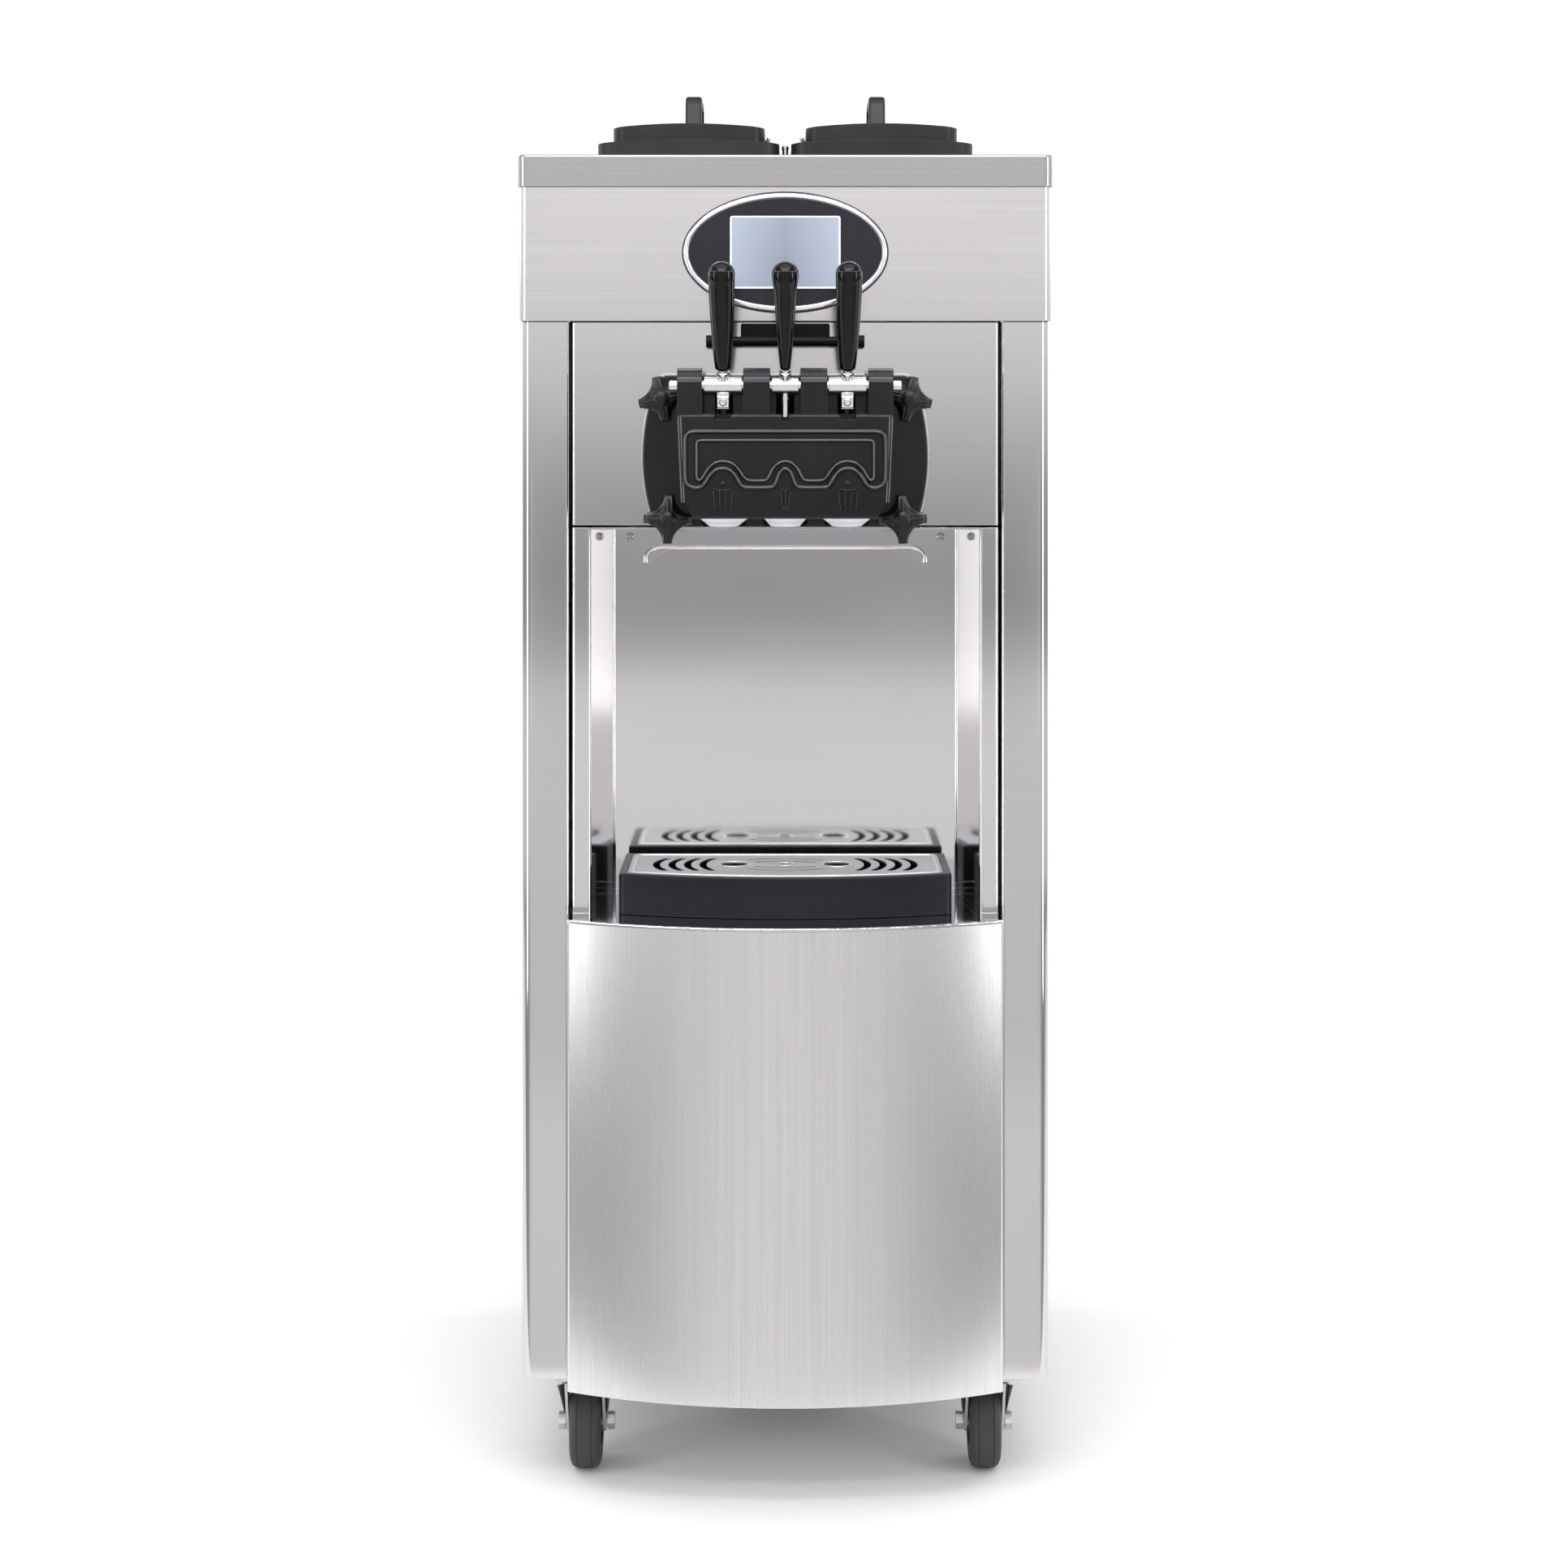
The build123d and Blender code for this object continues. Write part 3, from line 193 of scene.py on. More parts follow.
def brushed_group():
    """Long scratches: noise stretched along the grain, with a broader streak under it."""
    tree, given, result = new_group(
        "Brushed Grain",
        [("Stretch", "NodeSocketVector", (900, 900, 14)), ("Strength", "NodeSocketFloat", 0.5),
         ("Roughness", "NodeSocketFloat", 0.2), ("Tint", "NodeSocketColor", (0.7, 0.7, 0.7, 1))],
        [("Color", "NodeSocketColor"), ("Roughness", "NodeSocketFloat"), ("Height", "NodeSocketFloat")],
    )
    place = tree.nodes.new("ShaderNodeTexCoord")
    stretch = tree.nodes.new("ShaderNodeVectorMath")
    stretch.operation = "MULTIPLY"
    tree.links.new(place.outputs["Object"], stretch.inputs[0])
    tree.links.new(given.outputs["Stretch"], stretch.inputs[1])
    fine = noise(tree, stretch.outputs[0], 1.0, 4.0, 0.7)
    broad = noise(tree, stretch.outputs[0], 0.22, 2.0)
    smear = noise(tree, place.outputs["Object"], 3.2, 2.0)
    streaks = math_node(tree, "ADD", math_node(tree, "MULTIPLY", fine, 0.65),
                        math_node(tree, "MULTIPLY", broad, 0.35))
    shade = remap(tree, streaks, 0.86, 1.08)
    depth = math_node(tree, "MULTIPLY", given.outputs["Strength"], math_node(tree, "SUBTRACT", shade, 1.0))
    light = tree.nodes.new("ShaderNodeVectorMath")
    light.operation = "SCALE"
    tree.links.new(given.outputs["Tint"], light.inputs[0])
    tree.links.new(math_node(tree, "ADD", depth, 1.0), light.inputs["Scale"])
    tree.links.new(light.outputs[0], result.inputs["Color"])
    patch = math_node(tree, "MULTIPLY", math_node(tree, "SUBTRACT", smear, 0.5), 0.08)
    rough = math_node(tree, "ADD", math_node(tree, "ADD", given.outputs["Roughness"], patch),
                      math_node(tree, "MULTIPLY", depth, -0.35))
    tree.links.new(rough, result.inputs["Roughness"])
    tree.links.new(streaks, result.inputs["Height"])
    return tree


def moulded_group():
    """Moulded plastic: a fine spark-eroded texture, faint handling smears and paler worn edges."""
    tree, given, result = new_group(
        "Moulded Surface",
        [("Tint", "NodeSocketColor", (0.02, 0.02, 0.02, 1)), ("Roughness", "NodeSocketFloat", 0.35),
         ("Texture Scale", "NodeSocketFloat", 900.0), ("Smears", "NodeSocketFloat", 0.1)],
        [("Color", "NodeSocketColor"), ("Roughness", "NodeSocketFloat"), ("Height", "NodeSocketFloat")],
    )
    place = tree.nodes.new("ShaderNodeTexCoord")
    grain = tree.nodes.new("ShaderNodeTexNoise")
    grain.inputs["Detail"].default_value = 2.0
    tree.links.new(place.outputs["Object"], grain.inputs["Vector"])
    tree.links.new(given.outputs["Texture Scale"], grain.inputs["Scale"])
    smear = noise(tree, place.outputs["Object"], 14.0, 3.0)
    wear = tree.nodes.new("ShaderNodeNewGeometry")
    edge = tree.nodes.new("ShaderNodeMapRange")
    edge.inputs["From Min"].default_value = 0.52
    edge.inputs["From Max"].default_value = 0.62
    tree.links.new(wear.outputs["Pointiness"], edge.inputs["Value"])
    amount = math_node(tree, "MULTIPLY", given.outputs["Smears"], remap(tree, smear, -0.5, 0.5))
    tone = tree.nodes.new("ShaderNodeVectorMath")
    tone.operation = "SCALE"
    tree.links.new(given.outputs["Tint"], tone.inputs[0])
    wear_and_highlight = math_node(tree, "MULTIPLY", edge.outputs["Result"], 0.8)
    tree.links.new(math_node(tree, "ADD", math_node(tree, "ADD", amount, 1.0), wear_and_highlight), tone.inputs["Scale"])
    tree.links.new(tone.outputs[0], result.inputs["Color"])
    tree.links.new(math_node(tree, "ADD", given.outputs["Roughness"], amount), result.inputs["Roughness"])
    tree.links.new(grain.outputs["Fac"], result.inputs["Height"])
    return tree


def shared_group(label):
    """The named shared group, built on first use."""
    makers = {"Brushed Grain": brushed_group, "Moulded Surface": moulded_group}
    return bpy.data.node_groups.get(label) or makers[label]()


# ---------------------------------------------------------------- materials


def grouped_material(label, group, values, bump, edge_radius, **shader):
    """A Principled material whose colour, roughness and bump come from one shared group."""
    material = bpy.data.materials.new(label)
    material.use_nodes = True
    tree = material.node_tree
    surface = tree.nodes["Principled BSDF"]
    for name, value in shader.items():
        surface.inputs[name.replace("_", " ")].default_value = value
    effect = tree.nodes.new("ShaderNodeGroup")
    effect.node_tree = shared_group(group)
    for name, value in values.items():
        effect.inputs[name].default_value = value
    tree.links.new(effect.outputs["Color"], surface.inputs["Base Color"])
    tree.links.new(effect.outputs["Roughness"], surface.inputs["Roughness"])
    relief = tree.nodes.new("ShaderNodeBump")
    relief.inputs["Strength"].default_value = bump
    relief.inputs["Distance"].default_value = 0.0002
    tree.links.new(effect.outputs["Height"], relief.inputs["Height"])
    if edge_radius:
        rounding = tree.nodes.new("ShaderNodeBevel")
        rounding.samples = 4
        rounding.inputs["Radius"].default_value = edge_radius
        tree.links.new(rounding.outputs["Normal"], relief.inputs["Normal"])
    tree.links.new(relief.outputs["Normal"], surface.inputs["Normal"])
    return material


def brushed_steel(label, tint, stretch, roughness, axis, turn, anisotropy, grain, bump):
    """Brushed or polished stainless steel, with its grain along one direction."""
    material = grouped_material(
        label, "Brushed Grain",
        {"Stretch": stretch, "Strength": grain, "Roughness": roughness, "Tint": (*tint, 1)},
        bump, 0.0006, Metallic=1.0, Anisotropic=anisotropy, Anisotropic_Rotation=turn,
    )
    tangent = material.node_tree.nodes.new("ShaderNodeTangent")
    tangent.direction_type = "RADIAL"
    tangent.axis = axis
    material.node_tree.links.new(
        tangent.outputs[0], material.node_tree.nodes["Principled BSDF"].inputs["Tangent"]
    )
    return material


def moulded(label, tint, roughness, texture=900.0, smears=0.12, bump=0.25, edge=0.0008, **shader):
    """Moulded plastic, enamel or rubber."""
    return grouped_material(
        label, "Moulded Surface",
        {"Tint": (*tint, 1), "Roughness": roughness, "Texture Scale": texture, "Smears": smears},
        bump, edge, **shader,
    )


def dress(material, *names):
    """Give CAD nodes a material."""
    for name in names:
        for slot in NODES[name].material_slots:
            slot.material = material


def nodes_named(start):
    """The names of the CAD nodes that start with a word."""
    return [name for name in NODES if name.startswith(start)]


# ---------------------------------------------------------------- mesh helpers


def add_piece(label, mesh, body, material):
    """Link a mesh as a piece that rides on a body and takes its finish from a slot."""
    piece = bpy.data.objects.new(label, mesh)
    bpy.context.scene.collection.objects.link(piece)
    mesh.materials.append(material)
    for face in mesh.polygons:
        face.use_smooth = True
    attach(piece, body)
    return piece


def finished_mesh(label, shape, sharp_angle=35):
    """Turn a bmesh into a mesh with outward normals and sharp edges over an angle."""
    bmesh.ops.recalc_face_normals(shape, faces=shape.faces)
    mesh = bpy.data.meshes.new(label)
    shape.to_mesh(mesh)
    shape.free()
    mesh.set_sharp_from_angle(angle=math.radians(sharp_angle))
    return mesh


def add_rings(shape, rings, closed=False):
    """Skin a row of equal rings of points; an open row is capped at both ends."""
    rows = [[shape.verts.new(point) for point in ring] for ring in rings]
    count = len(rows[0])
    spans = len(rows) if closed else len(rows) - 1
    for index in range(spans):
        here, there = rows[index], rows[(index + 1) % len(rows)]
        for step in range(count):
            after = (step + 1) % count
            shape.faces.new((here[step], here[after], there[after], there[step]))
    if not closed:
        shape.faces.new(rows[0])
        shape.faces.new(rows[-1])


def oval(centre, across, up, half_across, half_up, count=24, power=2.0):
    """A ring of points: an ellipse at power 2, squarer above it."""
    ring = []
    for step in range(count):
        angle = math.tau * step / count
        c, s = math.cos(angle), math.sin(angle)
        x = math.copysign(abs(c) ** (2 / power), c) * half_across
        y = math.copysign(abs(s) ** (2 / power), s) * half_up
        ring.append(centre + across * x + up * y)
    return ring


def add_bead(shape, points, outward, radius, height, closed=True, count=10):
    """Skin a half-sunk round bead along points that lie on a flat face."""
    rings = []
    total = len(points)
    for index, point in enumerate(points):
        before = points[(index - 1) % total] if closed or index else point
        after = points[(index + 1) % total] if closed or index < total - 1 else point
        along = (after - before).normalized()
        across = along.cross(outward)
        rings.append(oval(point, across, outward, radius, height, count))
    add_rings(shape, rings, closed)


def add_block(shape, centre, size, bevel, turn=None):
    """Add a box with rounded edges."""
    made = bmesh.ops.create_cube(shape, size=1.0)
    verts = made["verts"]
    bmesh.ops.scale(shape, vec=Vector(size), verts=verts)
    edges = list({edge for vert in verts for edge in vert.link_edges})
    rounded = bmesh.ops.bevel(
        shape, geom=edges, offset=bevel, segments=3, profile=0.5, affect="EDGES", clamp_overlap=True
    )
    verts = list({vert for face in rounded["faces"] for vert in face.verts} | {v for v in verts if v.is_valid})
    if turn is not None:
        bmesh.ops.rotate(shape, verts=verts, cent=(0, 0, 0), matrix=turn)
    bmesh.ops.translate(shape, vec=Vector(centre), verts=verts)


def add_lathe(shape, profile, origin, axis, count=32):
    """Revolve (distance along axis, radius) pairs about an axis."""
    axis = Vector(axis).normalized()
    side = axis.orthogonal().normalized()
    other = axis.cross(side)
    rings = [
        oval(Vector(origin) + axis * along, side, other, radius, radius, count) for along, radius in profile
    ]
    add_rings(shape, rings)


# ---------------------------------------------------------------- operators


class SOFTSERVE_OT_frame_finishes(bpy.types.Operator):
    """Give every node of the fixed frame its finish"""

    bl_idname = "softserve.frame_finishes"
    bl_label = "Frame Finishes"

    def execute(self, context):
        steel = context.scene.softserve_steel
        plastic = context.scene.softserve_plastic
        tint = steel.tint
        across = (2.5, 900, 900)
        upright = (520, 520, 4)
        steels = (
            ("Hood Steel", tint, across, 0.16, "Z", 0.25, 0.3, steel.grain * 0.6, 0.04,
             ("hood", "rear_panel")),
            ("Counter Steel", steel.dark_tint, (3, 480, 480), 0.24, "Z", 0.25, 0.5, steel.grain * 1.8, 0.12,
             ("counter_top",)),
            ("Panel Steel", tint, across, 0.10, "Z", 0.25, 0.3, steel.grain * 0.4, 0.03, ("upper_panel",)),
            ("Column Steel", tint, across, 0.08, "Z", 0.25, 0.1, steel.grain * 0.25, 0.01,
             ("side_panel_left", "side_panel_right")),
            ("Door Steel", steel.door_tint, upright, 0.27, "Z", 0.0, 0.5, steel.grain * 1.3, 0.1,
             ("lower_door",)),
            ("Bay Steel", steel.polish_tint, across, 0.07, "Z", 0.25, 0.1, steel.grain * 0.2, 0.01,
             ("bay_liner", "tray_shelf", "head_backplate")),
            ("Tank Steel", steel.polish_tint, (60, 60, 60), 0.22, "Z", 0.0, 0.2, steel.grain, 0.05,
             ("hoppers", "freezing_barrels", "beater_left", "beater_right")),
            ("Turned Chrome", (0.82, 0.82, 0.84), (900, 12, 12), 0.2, "X", 0.0, 0.1, 0.12, 0.01,
             ("pivot_pin", "lever_left", "lever_centre", "lever_right")),
            ("Ring Chrome", (0.86, 0.86, 0.88), (30, 30, 30), 0.12, "Y", 0.0, 0.2, 0.25, 0.03,
             ("display_ring",)),
            ("Zinc Plate", (0.62, 0.63, 0.62), (55, 55, 55), 0.36, "Z", 0.0, 0.1, 0.8, 0.2,
             ("caster_plates", *nodes_named("caster_fork"))),
            ("Grille Steel", (0.50, 0.51, 0.52), (40, 500, 40), 0.3, "Z", 0.0, 0.3, 0.5, 0.12,
             ("drip_grille",)),
            ("Condenser Fins", (0.75, 0.75, 0.76), (500, 40, 40), 0.35, "Z", 0.0, 0.2, 0.6, 0.12,
             ("condenser",)),
            ("Screw Zinc", (0.42, 0.42, 0.43), (80, 80, 80), 0.3, "Y", 0.0, 0.1, 0.5, 0.12,
             ("panel_screws",)),
        )
        for label, *recipe, nodes in steels:
            dress(brushed_steel(label, *recipe), *nodes)
        mouldings = (
            ("Head Moulding", plastic.black, 0.17, 700, 0.1, 0.05, 0.0016, {"Specular_IOR_Level": 0.4},
             ("head_body", "draw_piston_left", "draw_piston_centre", "draw_piston_right")),
            ("Lid Moulding", (0.006, 0.006, 0.007), 0.4, 1100, 0.18, 0.4, 0.0014, {"Specular_IOR_Level": 0.4},
             ("cable_gland", "hopper_lid_left", "hopper_lid_right")),
            ("Switch Moulding", (0.002, 0.002, 0.002), 0.32, 900, 0.1, 0.2, 0.0012,
             {"Specular_IOR_Level": 0.14}, ("switch_bar",)),
            ("Tray Moulding", (0.0045, 0.005, 0.009), 0.34, 1100, 0.1, 0.3, 0.001,
             {"Specular_IOR_Level": 0.3}, ("drip_tray",)),
            ("Display Bezel", plastic.bezel, 0.16, 1500, 0.08, 0.05, 0.0, {"Specular_IOR_Level": 0.32},
             ("display_panel",)),
            ("White Moulding", plastic.white, 0.35, 1100, 0.04, 0.1, 0.0005,
             {"Subsurface_Weight": 0.15, "Subsurface_Scale": 0.004}, ("air_tubes", "nozzle_caps")),
            ("Sealing Rubber", plastic.rubber, 0.6, 900, 0.2, 0.4, 0.0008, {},
             ("barrel_gaskets", *nodes_named("caster_wheel"))),
            ("Frame Enamel", (0.16, 0.165, 0.17), 0.5, 450, 0.2, 0.3, 0.0008, {},
             ("base_chassis", "frame_posts")),
            ("Machine Enamel", (0.014, 0.014, 0.015), 0.32, 300, 0.15, 0.3, 0.0008, {"Coat_Weight": 0.3},
             ("gear_motors", "compressor", "fan_motor", "fan_blade")),
            ("Circuit Board", (0.01, 0.09, 0.03), 0.4, 260, 0.25, 0.3, 0.0008, {}, ("control_board",)),
            ("Clear Nozzle", (0.62, 0.74, 0.84), 0.12, 700, 0.02, 0.02, 0.0,
             {"Transmission_Weight": 0.6, "IOR": 1.45}, ("nozzle_tips",)),
            ("Handle Gloss", (0.0018, 0.0018, 0.002), 0.10, 260, 0.04, 0.02, 0.0, {"Specular_IOR_Level": 0.3},
             ("grip_left", "grip_centre", "grip_right")),
            ("Knob Moulding", plastic.black, 0.34, 900, 0.15, 0.3, 0.0012, {"Specular_IOR_Level": 0.4},
             nodes_named("star_knob")),
        )
        for label, *recipe, shader, nodes in mouldings:
            dress(moulded(label, *recipe, **shader), *nodes)
        dress(screen_material(context.scene.softserve_display), "display_screen")
        return {"FINISHED"}


def screen_material(settings):
    """An idle screen: a soft gradient, darker in the middle, under glossy glass."""
    material = bpy.data.materials.new("Idle Screen")
    material.use_nodes = True
    tree = material.node_tree
    surface = tree.nodes["Principled BSDF"]
    surface.inputs["Coat Weight"].default_value = 0.5
    surface.inputs["Coat Roughness"].default_value = 0.04
    surface.inputs["Emission Strength"].default_value = 0.30
    place = tree.nodes.new("ShaderNodeTexCoord")
    split = tree.nodes.new("ShaderNodeSeparateXYZ")
    tree.links.new(place.outputs["Object"], split.inputs[0])
    half = (SCREEN_HIGH.x - SCREEN_LOW.x) / 2
    away = math_node(tree, "DIVIDE", math_node(tree, "ABSOLUTE", split.outputs["X"], 0.0), half)
    rise = tree.nodes.new("ShaderNodeMapRange")
    rise.inputs["From Min"].default_value = SCREEN_LOW.z
    rise.inputs["From Max"].default_value = SCREEN_HIGH.z
    tree.links.new(split.outputs["Z"], rise.inputs["Value"])
    cloud = noise(tree, place.outputs["Object"], 18.0, 1.0)
    mixed = math_node(tree, "ADD", math_node(tree, "MULTIPLY", away, 0.55),
                      math_node(tree, "MULTIPLY", cloud, 0.2))
    mixed = math_node(tree, "ADD", mixed, math_node(tree, "MULTIPLY", rise.outputs["Result"], 0.15), True)
    ramp = tree.nodes.new("ShaderNodeValToRGB")
    glow = Vector(settings.glow)
    ramp.color_ramp.elements[0].color = (*(glow * 0.55), 1)
    ramp.color_ramp.elements[1].color = (*(glow * 1.2), 1)
    tree.links.new(mixed, ramp.inputs[0])
    tree.links.new(ramp.outputs["Color"], surface.inputs["Base Color"])
    tree.links.new(ramp.outputs["Color"], surface.inputs["Emission Color"])
    smear = noise(tree, place.outputs["Object"], 60.0, 3.0)
    tree.links.new(remap(tree, smear, 0.12, 0.22), surface.inputs["Roughness"])
    return material


def arc_points(start, middle, end, count):
    """Points along the circle through three points in the XY plane, given as pairs."""
    a, b, c = (Vector(point) for point in (start, middle, end))
    twice = 2 * (a.x * (b.y - c.y) + b.x * (c.y - a.y) + c.x * (a.y - b.y))
    ux = (a.length_squared * (b.y - c.y) + b.length_squared * (c.y - a.y) + c.length_squared * (a.y - b.y)) / twice
    uy = (a.length_squared * (c.x - b.x) + b.length_squared * (a.x - c.x) + c.length_squared * (b.x - a.x)) / twice
    centre = Vector((ux, uy))
    first, halfway, last = (math.atan2(p.y - uy, p.x - ux) for p in (a, b, c))
    radius = (a - centre).length
    turn = (last - first) % math.tau
    if (halfway - first) % math.tau > turn:
        turn -= math.tau
    last = first + turn
    return [
        (ux + radius * math.cos(first + (last - first) * step / (count - 1)),
         uy + radius * math.sin(first + (last - first) * step / (count - 1)))
        for step in range(count)
    ]


def softened(points, rounds=2):
    """Round a closed row of points by cutting its corners."""
    for _ in range(rounds):
        cut = []
        for here, there in zip(points, points[1:] + points[:1]):
            cut += [here.lerp(there, 0.25), here.lerp(there, 0.75)]
        points = cut
    return points


OUTER_FRAME = (
    (0, 1034.8), (3.0, 1033.6), (5.6, 1030.3), (7.6, 1026.0), (9.0, 1021.6), (10.8, 1017.6),
    (14.0, 1015.9), (36, 1015.9), (41.0, 1016.2), (44.5, 1019.6), (48.0, 1026.0), (51.5, 1031.0),
    (56.0, 1034.0), (61.7, 1035.0), (67.5, 1033.8), (72.3, 1030.4), (76.2, 1024.6), (80.0, 1018.6),
    (85.0, 1015.4), (91.5, 1015.8), (97.0, 1019.4), (98.7, 1025.0), (98.7, 1060), (98.3, 1065.5),
    (95.5, 1069.6), (90.0, 1071.0), (80, 1071.0),
)
INNER_FRAME = (
    (0, 1041.8), (4.5, 1041.0), (9.5, 1037.8), (12.8, 1033.4), (15.2, 1028.0), (17.8, 1023.6),
    (21.0, 1022.5), (33, 1022.5), (37.5, 1023.2), (41.5, 1027.0), (44.8, 1032.4), (48.8, 1037.4),
    (54.5, 1040.9), (61.7, 1041.9), (68.5, 1040.6), (74.0, 1036.8), (78.2, 1030.6), (81.4, 1025.2),
    (84.4, 1022.6), (86.6, 1023.8), (87.2, 1027.5), (87.2, 1057), (86.8, 1061.4), (83.0, 1062.3),
    (75, 1062.3),
)
BADGES = {"outer": (9.5, 7.5, 4), "centre": (5.5, 2.0, 3)}


def mirrored_frame(half, scale):
    """Close a frame drawn on the right-hand side by mirroring it, and widen it by a factor."""
    right = [(x * scale, z) for x, z in half]
    return right + [(-x, z) for x, z in reversed(right) if x > 0]


class SOFTSERVE_OT_head_relief(bpy.types.Operator):
    """Raise the framed arches and small ribbed badges on the head's front face, with painted highlight lines along
    their tops and down the block's sides
    """

    bl_idname = "softserve.head_relief"
    bl_label = "Head Relief"

    def execute(self, context):
        settings = context.scene.softserve_relief
        face = HEAD_LOW.y
        shape = bmesh.new()
        # Pale crest beads along the ridge tops are painted highlight lines; they go in their own mesh.
        crest = bmesh.new()
        lift = OUTWARD * (settings.ridge_height * 0.86)
        scale = settings.side_half / 0.0987
        for half, share in ((OUTER_FRAME, 1.0), (INNER_FRAME, 0.8)):
            ring = softened([Vector((x * MM, face, z * MM)) for x, z in mirrored_frame(half, scale)], 2)
            add_bead(shape, ring, OUTWARD, settings.ridge_radius * share, settings.ridge_height)
            add_bead(crest, [point + lift for point in ring], OUTWARD, settings.crest_highlight_radius,
                     settings.crest_highlight_radius)
        # Two pale lines down each side of the block: highlights painted along its edges.
        for side in (-1, 1):
            for top_x, base_x, sunk in ((102.8, 99.4, 0.0), (105.4, 101.6, 0.0011)):
                edge = [
                    Vector((side * (top_x + (base_x - top_x) * t) * MM, face + sunk, (1085 - 84 * t) * MM))
                    for t in (0, 0.3, 0.7, 1)
                ]
                add_bead(crest, edge, OUTWARD, 0.0007, 0.0009, closed=False)
        for name, middle in NOZZLE_PLACES.items():
            half_top, half_base, bars = BADGES["centre" if name == "centre" else "outer"]
            for bar in range(bars):
                share = bar / (bars - 1) * 2 - 1
                line = []
                for t in (0, 0.2, 0.5, 0.8, 1):
                    reach = share * (half_top * t + half_base * (1 - t))
                    line.append(Vector(((middle + reach) * MM, face, (993 + 20 * t) * MM)))
                add_bead(shape, line, OUTWARD, 0.0013, 0.0024, closed=False)
            rim = [
                Vector(((middle + half_top * u) * MM, face, (1013 + 1.6 * (u * u)) * MM))
                for u in (-1, -0.5, 0, 0.5, 1)
            ]
            add_bead(shape, rim, OUTWARD, 0.0010, 0.0020, closed=False)
            if bars == 4:
                add_lathe(shape, [(-0.001, 0.0030), (0.0006, 0.0030), (0.0014, 0.0022), (0.0016, 0.0006)],
                          (middle * MM, face, 1019.6 * MM), OUTWARD, 20)
        relief = finished_mesh("head_relief", shape, 50)
        add_piece("head_relief", relief, "cabinet", bpy.data.materials["Head Moulding"])
        # The crest lines take a paler moulding: a painted highlight.
        tint = context.scene.softserve_plastic.crest
        wear_and_highlight = moulded("Painted Crest Highlight", tint, 0.22, 500, 0.3, 0.05, 0.0, Specular_IOR_Level=0.8)
        add_piece("head_relief_crest_highlight", finished_mesh("head_relief_crest_highlight", crest, 50), "cabinet",
                  wear_and_highlight)
        return {"FINISHED"}


GRIP_LEAN = math.radians(32.7)
GRIP_SHAPES = {
    "left": ((19.0, 7.4, 6.6), (22.0, 7.9, 6.9), (38.5, 9.6, 8.0), (58.0, 10.7, 9.3), (80.0, 11.8, 10.5),
             (100.0, 12.6, 11.6), (112.0, 12.95, 12.3)),
    "centre": ((19.0, 4.7, 4.9), (22.0, 5.2, 5.3), (38.5, 6.6, 6.6), (58.0, 8.3, 8.0), (80.0, 9.7, 9.6),
               (100.0, 10.8, 10.8), (112.0, 11.5, 11.6)),
}
GRIP_SHAPES["right"] = GRIP_SHAPES["left"]
BALL_RADIUS = 13.25
BALL_REACH = 125.8


class SOFTSERVE_OT_grips(bpy.types.Operator):
    """Model the three glossy handle grips with their ball ends and steel ferrules"""

    bl_idname = "softserve.grips"
    bl_label = "Handle Grips"

    def execute(self, context):
        pin_low, pin_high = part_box("pivot_pin")
        along = Vector((0, -math.sin(GRIP_LEAN), math.cos(GRIP_LEAN)))
        across = Vector((1, 0, 0))
        forward = across.cross(along)
        for name in HANDLES:
            low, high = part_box(f"grip_{name}")
            pivot = Vector(((low.x + high.x) / 2, (pin_low.y + pin_high.y) / 2, (pin_low.z + pin_high.z) / 2))
            shape = bmesh.new()
            rings = []
            for reach, wide, deep in GRIP_SHAPES[name]:
                rings.append(oval(pivot + along * reach * MM, across, forward, wide * MM, deep * MM, 36, 2.3))
            for step in range(1, 13):
                angle = math.radians(-24 + 114 * step / 12.4)
                radius = BALL_RADIUS * math.cos(angle) * MM
                power = 2.3 - 0.3 * step / 12
                centre = pivot + along * (BALL_REACH + BALL_RADIUS * math.sin(angle)) * MM
                rings.append(oval(centre, across, forward, radius, radius, 36, power))
            add_rings(shape, rings)
            grip = finished_mesh(f"handle_grip_{name}", shape, 55)
            piece = add_piece(f"handle_grip_{name}", grip, f"handle_{name}",
                              bpy.data.materials["Handle Gloss"])
            smooth = piece.modifiers.new("Smooth", "SUBSURF")
            smooth.levels = smooth.render_levels = 1
            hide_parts(f"grip_{name}")
            ferrule = bmesh.new()
            profile = [(0.0125, 0.0042), (0.0128, 0.0058), (0.0160, 0.0060), (0.0166, 0.0052),
                       (0.0190, 0.0050), (0.0192, 0.0042)]
            add_lathe(ferrule, profile, pivot, along, 24)
            collar = finished_mesh(f"grip_ferrule_{name}", ferrule)
            add_piece(f"grip_ferrule_{name}", collar, f"handle_{name}",
                      bpy.data.materials["Turned Chrome"])
        return {"FINISHED"}


